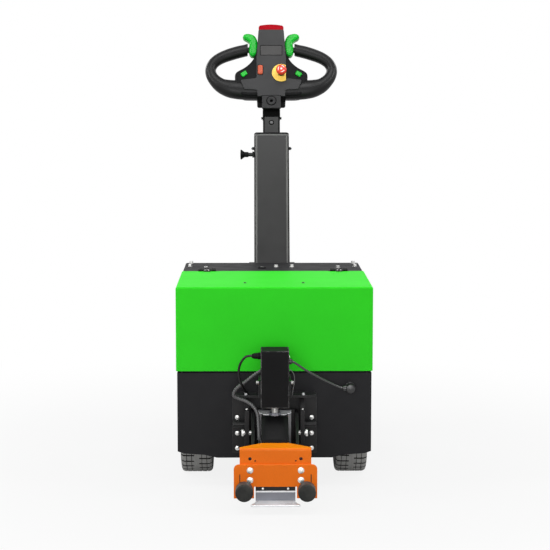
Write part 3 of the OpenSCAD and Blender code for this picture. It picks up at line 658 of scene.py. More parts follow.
class Part:
    """A mesh being built in millimetres, in the frame of one placement."""

    def __init__(self, name: str, placement: Matrix, finish: Finish) -> None:
        """Start an empty mesh.

        Args:
            name: name of the piece.
            placement: drawing frame in the row frame, in millimetres.
            finish: first finish.
        """
        self.name = name
        self.placement = placement
        self.mesh = bmesh.new()
        self.finishes: list[Finish] = [finish]
        self.index = 0

    def paint(self, finish: Finish) -> "Part":
        """Use a finish for what is added from here on."""
        if finish not in self.finishes:
            self.finishes.append(finish)
        self.index = self.finishes.index(finish)
        return self

    def absorb(self, other: bmesh.types.BMesh, at: Matrix | None = None) -> None:
        """Add a mesh in the current finish.

        Args:
            other: the mesh, which is freed.
            at: placement of it in the drawing frame.
        """
        if at is not None:
            bmesh.ops.transform(other, matrix=at, verts=other.verts)
        for face in other.faces:
            face.material_index = self.index
        scratch = bpy.data.meshes.new("scratch")
        other.to_mesh(scratch)
        other.free()
        self.mesh.from_mesh(scratch)
        bpy.data.meshes.remove(scratch)

    @staticmethod
    def _box(low: Point, high: Point) -> bmesh.types.BMesh:
        """Make a box with sharp edges.

        Args:
            low: lowest corner.
            high: highest corner.

        Returns:
            The box's mesh.
        """
        made = bmesh.new()
        bmesh.ops.create_cube(made, size=1.0)
        middle = (Vector(low) + Vector(high)) / 2
        size = Vector(high) - Vector(low)
        for vert in made.verts:
            vert.co = middle + Vector(c * s for c, s in zip(vert.co, size))
        return made

    def block(self, low: Point, high: Point, radius: float = 1.0, segments: int = 3) -> None:
        """Add a box with rounded edges.

        Args:
            low: lowest corner.
            high: highest corner.
            radius: radius of the edges.
            segments: segments of each edge.
        """
        made = self._box(low, high)
        limit = min(radius, 0.49 * min(b - a for a, b in zip(low, high)))
        bmesh.ops.bevel(made, geom=made.edges[:], offset=limit, segments=segments, profile=0.5,
                        affect="EDGES")
        self.absorb(made)

    def folded_box(self, low: Point, high: Point, missing: Sequence[Point], wall: float,
                   bend: float) -> None:
        """Add a sheet-metal box that is open on some sides.

        Args:
            low: lowest outer corner.
            high: highest outer corner.
            missing: outward directions of the open sides.
            wall: thickness, inwards.
            bend: outer radius of the folds.
        """
        made = self._box(low, high)
        made.normal_update()
        gone = [face for face in made.faces
                if any(face.normal.dot(Vector(m)) > 0.9 for m in missing)]
        bmesh.ops.delete(made, geom=gone, context="FACES_ONLY")
        loose = [edge for edge in made.edges if not edge.link_faces]
        bmesh.ops.delete(made, geom=loose, context="EDGES")
        folds = [edge for edge in made.edges if len(edge.link_faces) == 2]
        bmesh.ops.bevel(made, geom=folds, offset=bend, segments=5, profile=0.5, affect="EDGES")
        made.normal_update()
        bmesh.ops.solidify(made, geom=made.faces[:], thickness=wall)
        bmesh.ops.recalc_face_normals(made, faces=made.faces)
        self.absorb(made)

    def plate(self, outline: Sequence[Flat], thickness: float, at: Matrix,
              holes: Iterable[Sequence[Flat]] = (), edge: float = 0.6, segments: int = 2) -> None:
        """Add a plate of any outline, with holes and softened edges.

        Args:
            outline: its outline.
            thickness: from 0 along the placement's z.
            at: placement in the drawing frame.
            holes: outlines of holes.
            edge: radius of the edges.
            segments: segments of each edge.
        """
        drawing = bpy.data.curves.new("drawing", "CURVE")
        drawing.dimensions = "2D"
        drawing.fill_mode = "BOTH"
        drawing.extrude = thickness / 2 - edge
        drawing.bevel_depth = edge
        drawing.bevel_resolution = segments - 1
        drawing.offset = -edge
        for ring in (outline, *holes):
            spline = drawing.splines.new("POLY")
            spline.points.add(len(ring) - 1)
            for point, (u, v) in zip(spline.points, ring):
                point.co = (u, v, 0.0, 1.0)
            spline.use_cyclic_u = True
        holder = bpy.data.objects.new("drawing", drawing)
        solid = bpy.data.meshes.new_from_object(holder)
        made = bmesh.new()
        made.from_mesh(solid)
        bpy.data.objects.remove(holder)
        bpy.data.curves.remove(drawing)
        bpy.data.meshes.remove(solid)
        bmesh.ops.remove_doubles(made, verts=made.verts, dist=WELD)
        bmesh.ops.recalc_face_normals(made, faces=made.faces)
        self.absorb(made, at @ Matrix.Translation((0.0, 0.0, thickness / 2)))

    def lathe(self, profile: Sequence[Flat], at: Matrix, steps: int = 48) -> None:
        """Add a turned solid, or a ring where the profile keeps clear of the axis.

        Args:
            profile: radius and height pairs, from one end of the axis to the other, or round a
                ring without repeating the first pair.
            at: placement of the axis in the drawing frame.
            steps: segments of the turn.
        """
        made = bmesh.new()
        rings: list[list[bmesh.types.BMVert]] = []
        for radius, height in profile:
            if radius == 0:
                rings.append([made.verts.new((0.0, 0.0, height))])
                continue
            rings.append([made.verts.new((radius * math.cos(a), radius * math.sin(a), height))
                          for a in turns(steps)])
        if len(rings[0]) == steps and len(rings[-1]) == steps:
            rings.append(rings[0])
        for lower, upper in zip(rings, rings[1:]):
            self._join(made, lower, upper)
        bmesh.ops.recalc_face_normals(made, faces=made.faces)
        self.absorb(made, at)

    @staticmethod
    def _join(made: bmesh.types.BMesh, lower: list[bmesh.types.BMVert],
              upper: list[bmesh.types.BMVert]) -> None:
        """Close the band between two rings, either of which may be a single point.

        Args:
            made: mesh that holds the rings.
            lower: first ring.
            upper: second ring.
        """
        count = max(len(lower), len(upper))
        if count == 1:
            return
        for k in range(count):
            m = (k + 1) % count
            around = [lower[k % len(lower)], lower[m % len(lower)],
                      upper[m % len(upper)], upper[k % len(upper)]]
            corners = list(dict.fromkeys(around))
            made.faces.new(corners)

    def loft(self, rings: Sequence[Sequence[Sequence[float]]], at: Matrix | None = None,
             capped: bool = True) -> None:
        """Add a skin over closed rings of equal length.

        Args:
            rings: rings of points.
            at: placement in the drawing frame.
            capped: close the first and last ring.
        """
        made = bmesh.new()
        built = [[made.verts.new(p) for p in ring] for ring in rings]
        for lower, upper in zip(built, built[1:]):
            self._join(made, lower, upper)
        if capped:
            made.faces.new(built[0])
            made.faces.new(built[-1])
        bmesh.ops.recalc_face_normals(made, faces=made.faces)
        self.absorb(made, at)

    def sweep(self, path: Sequence[Sequence[float]], radii: Sequence[float], sides: int) -> None:
        """Add a round bar along a path.

        Args:
            path: its middle line.
            radii: its radius at each point of the path.
            sides: segments around it.
        """
        line = [Vector(p) for p in path]
        last = len(line) - 1
        heading = (line[1] - line[0]).normalized()
        side = heading.orthogonal().normalized()
        rings: list[list[Vector]] = []
        for i, point in enumerate(line):
            now = (line[min(i + 1, last)] - line[max(i - 1, 0)]).normalized()
            side = (heading.rotation_difference(now) @ side).normalized()
            side = (side - now * side.dot(now)).normalized()
            heading = now
            other = now.cross(side)
            spokes = [math.cos(a) * side + math.sin(a) * other for a in turns(sides)]
            rings.append([point + radii[i] * spoke for spoke in spokes])
        self.loft(rings)

    def bolt(self, at: Matrix, size: float, head: Head, finish: Finish) -> None:
        """Add a fastener's head, standing on the placement's x-y plane.

        Args:
            at: placement with z out of the surface.
            size: width of the head.
            head: kind of head.
            finish: its finish.
        """
        kept = self.index
        self.paint(finish)
        r = size / 2
        if head is Head.HEX:
            self.lathe([(0, -1), (1.28 * r, -1), (1.28 * r, 0.9), (1.2 * r, 1.3), (0, 1.3)], at, 32)
            corner = r / math.cos(math.pi / 6)
            self.plate(circle((0, 0), corner, 6), 0.62 * size,
                       at @ Matrix.Translation((0.0, 0.0, 1.2)), edge=0.09 * r)
        elif head is Head.DOME:
            dome = [(0.44 * r, 0.62 * r)] + [(r * math.cos(a), 0.66 * r * math.sin(a)) for a in
                                             [math.radians(x) for x in (64, 48, 32, 16, 4)]]
            sunk = [(0, 0.2 * r), (0.38 * r, 0.2 * r), (0.4 * r, 0.6 * r)]
            self.lathe(sunk + dome + [(r, -1), (0, -1)], at, 32)
        else:
            dome = [(r * math.cos(a), 0.2 + 0.26 * r * math.sin(a)) for a in
                    [math.radians(x) for x in (75, 60, 45, 30, 15, 4)]]
            self.lathe([(0, 0.2 + 0.26 * r)] + dome + [(r, -1), (0, -1)], at, 32)
        self.index = kept

    def carve(self, cutter: "Part") -> None:
        """Cut another part's volume out of what is built so far.

        Args:
            cutter: the volume, which is used up.
        """
        holders = []
        for built in (self.mesh, cutter.mesh):
            scratch = bpy.data.meshes.new("scratch")
            built.to_mesh(scratch)
            holder = bpy.data.objects.new("scratch", scratch)
            bpy.context.scene.collection.objects.link(holder)
            holders.append(holder)
        change = holders[0].modifiers.new("cut", "BOOLEAN")
        change.operation = "DIFFERENCE"
        change.solver = "EXACT"
        change.object = holders[1]
        graph = bpy.context.evaluated_depsgraph_get()
        result = bpy.data.meshes.new_from_object(holders[0].evaluated_get(graph))
        self.mesh.clear()
        self.mesh.from_mesh(result)
        cutter.mesh.free()
        bpy.data.meshes.remove(result)
        for holder in holders:
            scratch = holder.data
            bpy.data.objects.remove(holder)
            bpy.data.meshes.remove(scratch)

    def done(self, body: str | None, replaces: Sequence[str] = (),
             smooth: float = 38.0) -> bpy.types.Object:
        """Turn the mesh into a piece of the scene.

        Args:
            body: body that it rides on, or none to leave it on no body.
            replaces: solids that it stands for.
            smooth: angle in degrees up to which faces shade as one.

        Returns:
            The new object.
        """
        bmesh.ops.transform(self.mesh, matrix=Matrix.Scale(MM, 4) @ self.placement,
                            verts=self.mesh.verts)
        data = bpy.data.meshes.new(self.name)
        self.mesh.to_mesh(data)
        self.mesh.free()
        for finish in self.finishes:
            data.materials.append(finish.material())
        data.polygons.foreach_set("use_smooth", [True] * len(data.polygons))
        data.set_sharp_from_angle(angle=math.radians(smooth))
        piece = bpy.data.objects.new(self.name, data)
        bpy.context.scene.collection.objects.link(piece)
        even = piece.modifiers.new("even shading", "WEIGHTED_NORMAL")
        even.keep_sharp = True
        if replaces:
            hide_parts(*replaces)
        if body is not None:
            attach(piece, body)
        LOG.info("%s: %d faces on %s", self.name, len(data.polygons), body)
        return piece


def dress_solid(node: str, finish: Finish, edge: float) -> None:
    """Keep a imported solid, with softened edges and a finish.

    Args:
        node: name of the solid.
        finish: its finish.
        edge: width of the softened edges.
    """
    solid = frame["nodes"][node]
    solid.data.materials.clear()
    solid.data.materials.append(finish.material())
    weld = solid.modifiers.new("weld", "WELD")
    weld.merge_threshold = SOLID_WELD * MM
    flat = solid.modifiers.new("flat faces", "DECIMATE")
    flat.decimate_type = "DISSOLVE"
    flat.angle_limit = SOLID_FLAT
    soft = solid.modifiers.new("soft edges", "BEVEL")
    soft.width = edge * MM
    soft.segments = 2
    soft.limit_method = "ANGLE"
    soft.angle_limit = SOLID_EDGE
    soft.harden_normals = False
    even = solid.modifiers.new("even shading", "WEIGHTED_NORMAL")
    even.keep_sharp = True
    solid.data.polygons.foreach_set("use_smooth", [True] * len(solid.data.polygons))
    LOG.info("%s: solid kept in %s", node, finish.name)


@dataclass(frozen=True)
class Placements:
    """Where the drawing frames stand in the row frame, in millimetres."""

    body: Matrix
    tiller: Matrix

    @classmethod
    def read(cls) -> "Placements":
        """Take the placements from the hood's box and the tiller's joints.

        Returns:
            The placements.
        """
        joints = {joint["name"]: joint for joint in frame["joints"]}
        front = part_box("hood")[0].y / MM
        along = Vector(joints["tiller_extend"]["axis"])
        pivot = Vector(joints["tiller_tilt"]["pos_m"]) / MM
        lean = Matrix.Rotation(-math.atan2(along.y, along.z), 4, "X")
        return cls(Matrix.Translation((0.0, front, 0.0)), Matrix.Translation(pivot) @ lean)


@dataclass
class Body:
    """Hood, lower body, deck, batteries and drive unit."""

    at: Matrix
    hood_w: float = 540.0
    hood_l: float = 386.0
    hood_z: float = 324.0
    top_z: float = 556.0
    sheet: float = 3.0
    hinge_x: float = 195.0
    hinge_y: float = 390.0
    hinge_z: float = 559.0
    deck_x: float = 269.0
    deck_y: Flat = (394.0, 651.0)
    deck_z: Flat = (319.0, 552.0)
    deck_sheet: float = 3.5
    bend: float = 5.0
    leaf_w: float = 20.0
    knuckle_x: float = 20.5
    hood_screw: Flat = (81.0, 93.0)
    bulkhead_x: float = 260.0
    bulkhead_z: float = 208.5
    seal_w: float = 12.0
    key: Point = (-32.0, 501.0, 528.0)
    battery_x: float = 124.0
    battery_y: Flat = (40.0, 213.0)
    battery_l: float = 169.0
    battery_z: float = 418.0
    post_x: float = 98.0
    strap: tuple[Point, ...] = (
        (98, 164.5, 434), (110, 180, 437), (60, 230, 438), (-60, 246, 438), (-98, 257.5, 434))
    gear_end: Point = (-52.0, 200.0, 133.0)
    gear_bolt_r: float = 38.0
    motor_axis: Flat = (278.0, 147.0)
    motor_ribs: tuple[float, ...] = (40.0, 54.0, 68.0, 82.0, 96.0, 110.0)
    axle_pad: Flat = (134.5, 196.0)
    axle_pad_y: Flat = (182.0, 218.0)
    deck_bolts: tuple[Flat, ...] = (
        (-251, 545), (-251, 631), (251, 545), (251, 631), (-201, 482), (11, 528), (59.5, 528),
        (198, 499))
    cover_bolts: tuple[float, ...] = (-215.0, -120.0, 120.0, 215.0)
    panel_bolts: tuple[float, ...] = (-230.0, -150.0, 150.0, 230.0)
    panel_bolt_z: float = 228.0

    def build(self) -> None:
        """Build and dress the body's pieces."""
        dress_solid("lower_body", BODY_BLACK, edge=1.2)
        dress_solid("battery_pair", BATTERY, edge=4.0)
        dress_solid("transaxle", CAST_IRON, edge=2.0)
        dress_solid("hinge_pins", BRACKET_BLACK, edge=0.6)
        self.hood()
        self.deck()
        self.seal()
        self.key_switch()
        self.battery_tops()
        self.drive_details()
        self.rear_bolts()

    def hood(self) -> None:
        """Build the folded hood with its hinge leaves and two flush screws."""
        side = self.hood_w / 2
        part = Part("hood_panel", self.at, HOOD_GREEN)
        part.folded_box((-side, 0.0, self.hood_z), (side, self.hood_l, self.top_z),
                        [(0, 0, -1), (0, 1, 0)], self.sheet, self.bend)
        notch = Part("notch", self.at, HOOD_GREEN)
        for s in SIDES:
            for e in SIDES:
                x = s * self.hinge_x + e * self.knuckle_x
                notch.block((x - 9.5, self.hood_l - 6, self.top_z - 20),
                            (x + 9.5, self.hood_l + 8, self.top_z + 9), 0.4, 1)
        part.carve(notch)
        part.paint(BRACKET_BLACK)
        for s in SIDES:
            x = s * self.hinge_x
            half = self.leaf_w / 2
            part.block((x - half, self.hood_l - 17, self.top_z - 1.5),
                       (x + half, self.hinge_y, self.top_z + 4), 1.2)
            barrel = [(3.3, -half), (5.1, -half), (5.5, 0.4 - half), (5.5, half - 0.4),
                      (5.1, half), (3.3, half)]
            part.lathe(barrel, aimed((x, self.hinge_y, self.hinge_z), (1, 0, 0)), 32)
            for dx in (-4.5, 4.5):
                at = aimed((x + dx, self.hood_l - 10, self.top_z + 3.9), (0, 0, 1))
                part.bolt(at, 4.2, Head.DOME, ZINC)
        for s in SIDES:
            at = aimed((s * self.hood_screw[0], self.hood_screw[1], self.top_z - 0.5), (0, 0, 1))
            part.bolt(at, 9.5, Head.DOME, SCREW_BLACK)
        part.done("hood", ["hood"], 30)

    def deck(self) -> None:
        """Build the folded deck cover with its bulkhead and bright bolts."""
        part = Part("deck_cover", self.at, DECK_BLACK)
        x = self.deck_x
        (y0, y1), (z0, z1) = self.deck_y, self.deck_z
        part.folded_box((-x, y0, z0), (x, y1, z1), [(0, 0, -1)], self.deck_sheet, self.bend)
        part.block((-self.bulkhead_x, y0, self.bulkhead_z),
                   (self.bulkhead_x, y0 + self.deck_sheet, z0 + 8), 0.6, 2)
        for bx, by in self.deck_bolts:
            part.bolt(aimed((bx, by, z1), (0, 0, 1)), 10.0, Head.HEX, ZINC)
        for bx in self.cover_bolts:
            part.bolt(aimed((bx, y1, z0 + 18), (0, 1, 0)), 9.0, Head.DOME, SCREW_BLACK)
        part.done("chassis", ["rear_cover"], 30)

    def seal(self) -> None:
        """Build the rubber seal on the bulkhead that the hood's rear edge closes against."""
        part = Part("hood_seal", self.at, RUBBER)
        out, top = self.deck_x - 7, self.deck_z[1] - 3
        inside, below = out - self.seal_w, top - self.seal_w
        foot = self.hood_z + 2
        deep = self.deck_y[0] - self.hood_l - 0.6
        outline = [(-out, foot), (-out, top), (out, top), (out, foot),
                   (inside, foot), (inside, below), (-inside, below), (-inside, foot)]
        part.plate(rounded(outline, 4.0, 4), deep, facing_front(self.deck_y[0]), edge=2.4, segments=4)
        part.done("chassis")

    def key_switch(self) -> None:
        """Build the key switch with its bezel, slotted barrel and dust lip."""
        part = Part("key_barrel", self.at, MOULDED)
        at = aimed(self.key, (0, 0, 1))
        part.lathe([(0, 0), (8.6, 0), (8.9, 0.5), (8.9, 24), (13.4, 24), (14, 24.6), (14, 26.8),
                    (12.8, 28), (8.8, 28), (8.2, 27.2), (8.2, 26), (0, 26)], at)
        part.paint(ZINC)
        part.plate(circle((0, 0), 6.6, 32), 1.6, at @ Matrix.Translation((0, 0, 25.8)),
                   [rectangle(-0.7, 0.7, -4.0, 4.0, 0.3)], 0.3)
        part.done("chassis", ["key_switch"])

    def battery_tops(self) -> None:
        """Build the lids, terminal posts and link strap on the two batteries."""
        part = Part("battery_lids", self.at, BATTERY)
        top = self.battery_z
        for y0 in self.battery_y:
            middle = y0 + self.battery_l / 2
            lid = rectangle(-self.battery_x, self.battery_x, y0 + 6, y0 + self.battery_l - 6, 6)
            part.plate(lid, 5.0, facing_up(top), edge=1.4)
            for s in SIDES:
                post = aimed((s * self.post_x, middle + s * 40, top + 4), (0, 0, 1))
                part.paint(ZINC).lathe([(0, 0), (8, 0), (7.4, 11), (6.6, 12), (0, 12)], post, 24)
                part.paint(BATTERY)
            for k in range(6):
                cap = aimed((-75.0 + 30 * k, middle, top + 4.6), (0, 0, 1))
                part.lathe([(0, 0), (10, 0), (10, 3), (9, 4), (0, 4)], cap, 24)
        part.paint(LEAD)
        strap = curve_through(self.strap, 8)
        part.sweep(strap, [5.0] * len(strap), 12)
        part.done("chassis")

    def drive_details(self) -> None:
        """Build the drive unit's cover bolts, motor ribs and axle pads."""
        part = Part("drive_details", self.at, CAST_IRON)
        for k in range(8):
            x, y, z = self.gear_end
            a = math.radians(45 * k + 22.5)
            y += self.gear_bolt_r * math.cos(a)
            z += self.gear_bolt_r * math.sin(a)
            part.bolt(aimed((x, y, z), (-1, 0, 0)), 8.0, Head.HEX, ZINC)
        for x in self.motor_ribs:
            ring = [(43, -1.6), (46, -1.2), (46.4, 0), (46, 1.2), (43, 1.6)]
            part.lathe(ring, aimed((x, *self.motor_axis), (1, 0, 0)), 40)
        for s in SIDES:
            x, z = s * self.axle_pad[0], self.axle_pad[1]
            for y in self.axle_pad_y:
                part.bolt(aimed((x, y, z), (0, 0, -1)), 8.0, Head.HEX, ZINC)
                part.paint(CAST_IRON).block((x - 7, y - 7, z), (x + 7, y + 7, z + 9), 1)
        part.done("chassis")

    def rear_bolts(self) -> None:
        """Build the small fasteners along the lower body's rear panel."""
        part = Part("rear_panel_bolts", self.at, SCREW_BLACK)
        for x in self.panel_bolts:
            at = aimed((x, self.deck_y[1], self.panel_bolt_z), (0, 1, 0))
            part.bolt(at, 9.0, Head.DOME, ZINC)
        part.done("chassis")


@dataclass
class RunningGear:
    """Drive tyres, rims and the rear castor."""

    at: Matrix
    tyre_r: float = 133.0
    tyre_w: float = 90.0
    rim_r: float = 52.0
    track: float = 436.0
    axle_y: float = 200.0
    pitches: int = 36
    phase: float = 0.89
    groove_deep: float = 6.0
    groove_share: float = 0.09
    rib_half: float = 7.0
    seam_half: float = 0.7
    seam_deep: float = 1.2
    slits: tuple[Flat, ...] = ((13.4, 15.2), (27.4, 29.2))
    slit_deep: float = 2.6
    tread_half: float = 44.9
    shoulder_half: float = 43.5
    shade_deep: float = 1.8
    wheel_nuts: int = 5
    nut_r: float = 29.5
    castor_r: float = 75.0
    castor_w: float = 38.0
    swivel_y: float = 510.0
    trail: float = 45.0
    castor_h: float = 205.0
    castor_plate: float = 55.0
    castor_bolt: float = 40.0
    half_stations: tuple[float, ...] = (
        0.0, 0.5, 0.9, 4.0, 6.6, 7.2, 10.0, 13.2, 13.6, 15.0, 15.4, 20.0, 24.0, 27.2, 27.6, 29.0,
        29.4, 33.0, 36.0, 39.0, 41.5, 43.2, 44.2, 44.75)
    turn_stations: tuple[float, ...] = (
        0.0, 0.085, 0.102, 0.25, 0.398, 0.415, 0.5, 0.585, 0.602, 0.75, 0.898, 0.915)

    def build(self) -> None:
        """Build and dress the running gear's pieces."""
        for side, name in ((-1, "left"), (1, "right")):
            self.tyre(side, name)
            self.rim(side, name)
        dress_solid("castor_fork", ZINC_SHEET, edge=1.2)
        self.castor_mount()
        self.castor_wheel()

    @property
    def waist(self) -> float:
        """Radius at which the tyre is widest."""
        return self.rim_r + 0.55 * (self.tyre_r - self.rim_r)

    @property
    def foot(self) -> float:
        """Half width of the tyre's seat on the rim."""
        return 0.31 * self.tyre_w

    def crown(self, x: float) -> float:
        """Give the tyre's radius at a distance from its middle plane."""
        share = min(1.0, abs(x) / (self.tyre_w / 2))
        return self.waist + (self.tyre_r - self.waist) * (1 - share ** 10) ** 0.2

    def sunk(self, x: float, turn: float) -> float:
        """Tell how deep the tread pattern is at one place.

        Args:
            x: distance from the tyre's middle plane.
            turn: share of one tread pitch, from 0 to 1.

        Returns:
            Depth below the crown.
        """
        reach = abs(x)
        if reach < self.seam_half:
            return self.seam_deep
        fade = min(1.0, max(0.0, (self.tread_half - reach) / 2.0))
        shifted = turn if x < 0 else (turn + 0.5) % 1.0
        if min(shifted, 1.0 - shifted) < self.groove_share and reach > self.rib_half:
            return self.groove_deep * fade
        return self.slit_deep if any(near < reach < far for near, far in self.slits) else 0.0

    def tyre(self, side: int, name: str) -> None:
        """Build a drive tyre with its smooth middle rib and staggered blocks.

        Args:
            side: -1 for left and 1 for right.
            name: word in the piece's name.
        """
        waist, foot = self.waist, self.foot
        half = self.tyre_w / 2
        stations = sorted({-s for s in self.half_stations} | set(self.half_stations))
        wall = [(waist - (waist - self.rim_r) * t * t ** 0.15, half - (half - foot) * t * t)
                for t in (0.0, 0.16, 0.2, 0.24, 0.45, 0.7, 0.88, 1.0)]
        wall[2] = (wall[2][0], wall[2][1] - 1.1)
        rings: list[list[Point]] = []
        count = self.pitches * len(self.turn_stations)
        for k in range(count):
            turn = self.turn_stations[k % len(self.turn_stations)]
            angle = 2 * math.pi * (k // len(self.turn_stations) + turn + self.phase) / self.pitches
            ring = [(r, -x) for r, x in reversed(wall)]
            ring += [(self.crown(x) - self.sunk(x, turn), x) for x in stations]
            ring += wall
            ring += [(self.rim_r - 1.5, foot - 4), (self.rim_r - 1.5, 4 - foot)]
            rings.append([(x, r * math.cos(angle), r * math.sin(angle)) for r, x in ring])
        rings.append(rings[0])
        part = Part(f"tread_tyre_{name}", self.at, TREAD_DUST_AND_LIGHT)
        part.loft(rings, Matrix.Translation((side * self.track / 2, self.axle_y, self.tyre_r)),
                  capped=False)
        bmesh.ops.remove_doubles(part.mesh, verts=part.mesh.verts, dist=10 * WELD)
        bmesh.ops.recalc_face_normals(part.mesh, faces=part.mesh.faces)
        # Sidewalls and groove floors take the near-black as painted shade; the crown keeps the pale
        # grey of dust and painted light.
        part.paint(GROOVE_RUBBER_SHADE)
        for face in part.mesh.faces:
            spot = face.calc_center_median()
            x = spot.x - side * self.track / 2
            radius = math.hypot(spot.y - self.axle_y, spot.z - self.tyre_r)
            if abs(x) > self.shoulder_half or radius < self.crown(x) - self.shade_deep:
                face.material_index = part.index
        part.done(f"wheel_{name}", [f"tyre_{name}"], 30)

    def rim(self, side: int, name: str) -> None:
        """Build a pressed wheel with its bead lips, nuts, hub cap and valve.

        Args:
            side: -1 for left and 1 for right.
            name: word in the piece's name.
        """
        part = Part(f"wheel_disc_{name}", self.at, WHEEL_METAL)
        at = aimed((side * self.track / 2, self.axle_y, self.tyre_r), (side, 0, 0))
        seat = self.rim_r - 0.3
        lip = self.foot + 0.3
        part.lathe([(24, 5), (26, 4.5), (33, 4), (38, 0), (seat - 6, -2), (seat - 5, -6),
                    (seat - 5, 6 - lip), (seat - 4, 1.5 - lip), (seat - 2, -lip), (seat, 1 - lip),
                    (seat, lip - 1), (seat - 2, lip), (seat - 4, lip - 1.5), (seat - 5, lip - 6),
                    (seat - 5, 8), (seat - 8, 7), (38, 8), (34, 11), (26, 12), (24, 12)], at)
        part.paint(CAST_IRON).lathe(
            [(0, -104), (14.4, -104), (15, -103), (15, -25), (22.6, -25), (24, -24), (24, 5),
             (0, 5)], at)
        part.paint(WHEEL_METAL).lathe(
            [(0, 5), (24, 5), (24, 13), (17, 15), (16.4, 20), (15, 23), (11, 24), (0, 24)], at)
        for k in range(self.wheel_nuts):
            a = math.radians(360 / self.wheel_nuts * k + 18)
            nut = Matrix.Translation((self.nut_r * math.cos(a), self.nut_r * math.sin(a), 10.6))
            part.bolt(at @ nut, 8.6, Head.HEX, ZINC)
        valve = at @ Matrix.Translation((41.0, 0.0, 2.0))
        part.paint(LEAD).lathe(
            [(0, 0), (4, 0), (3.6, 8), (3, 10), (3, 18), (2.4, 19.5), (0, 19.5)], valve, 20)
        part.done(f"wheel_{name}", [f"rim_{name}"])

    def castor_mount(self) -> None:
        """Build the castor's top plate, swivel races and king pin."""
        part = Part("castor_head", self.at, ZINC_SHEET)
        h = self.castor_h
        middle = Matrix.Translation((0.0, self.swivel_y, 0.0))
        side, bolt = self.castor_plate, self.castor_bolt
        spots = [(x, y) for x in (-bolt, bolt) for y in (-bolt, bolt)]
        slots = [rectangle(x - 8, x + 8, y - 4.5, y + 4.5, 4.4) for x, y in spots]
        part.plate(rectangle(-side, side, -side, side, 8), 6.0, middle @ facing_up(h - 6), slots, 0.8)
        part.lathe([(9, h - 18), (31, h - 18), (33.4, h - 17), (34, h - 15), (34, h - 9),
                    (31, h - 6), (9, h - 6)], middle)
        part.lathe([(0, h - 48), (15.4, h - 48), (16, h - 47), (16, h - 42.6), (15, h - 42),
                    (10, h - 42), (10, h - 6), (0, h - 6)], middle)
        for x, y in spots:
            at = aimed((x, self.swivel_y + y, h - 6), (0, 0, -1))
            part.bolt(at, 11.0, Head.HEX, ZINC)
        part.done("chassis", ["castor_mount"])

    def castor_wheel(self) -> None:
        """Build the castor's tyre, hub and axle nuts."""
        r = self.castor_r
        w = self.castor_w / 2
        at = aimed((0.0, self.swivel_y + self.trail, r), (1, 0, 0))
        tyre = Part("castor_tread", self.at, RUBBER)
        shoulder = arc((r - 8, 8 - w), 8.0, -90.0, 0.0, 9)
        other = [(p, -q) for p, q in reversed(shoulder)]
        tyre.lathe([(r - 18, 2 - w), (r - 14, 0.6 - w), (r - 11, 0.9 - w), (r - 9, -w), *shoulder,
                    *other, (r - 9, w), (r - 11, w - 0.9), (r - 14, w - 0.6), (r - 18, w - 2)],
                   at, 64)
        tyre.done("castor_wheel", ["castor_tyre"])
        hub = Part("castor_centre", self.at, ZINC_SHEET)
        out = r - 18.3
        profile = [(8.3, -w - 1), (19, -w - 1), (20, -w), (20, -8), (24, -6), (out - 10, -6),
                   (out - 6, -9), (out - 6, 3.6 - w), (out - 5, 3 - w), (out, 3 - w)]
        hub.lathe(profile + [(p, -q) for p, q in reversed(profile)], at, 64)
        hub.done("castor_wheel", ["castor_hub"])
        nuts = Part("castor_axle_nuts", self.at, ZINC)
        for s in SIDES:
            nuts.bolt(aimed((s * 31.0, self.swivel_y + self.trail, r), (s, 0, 0)), 15.0, Head.HEX, ZINC)
        nuts.done("castor_fork")


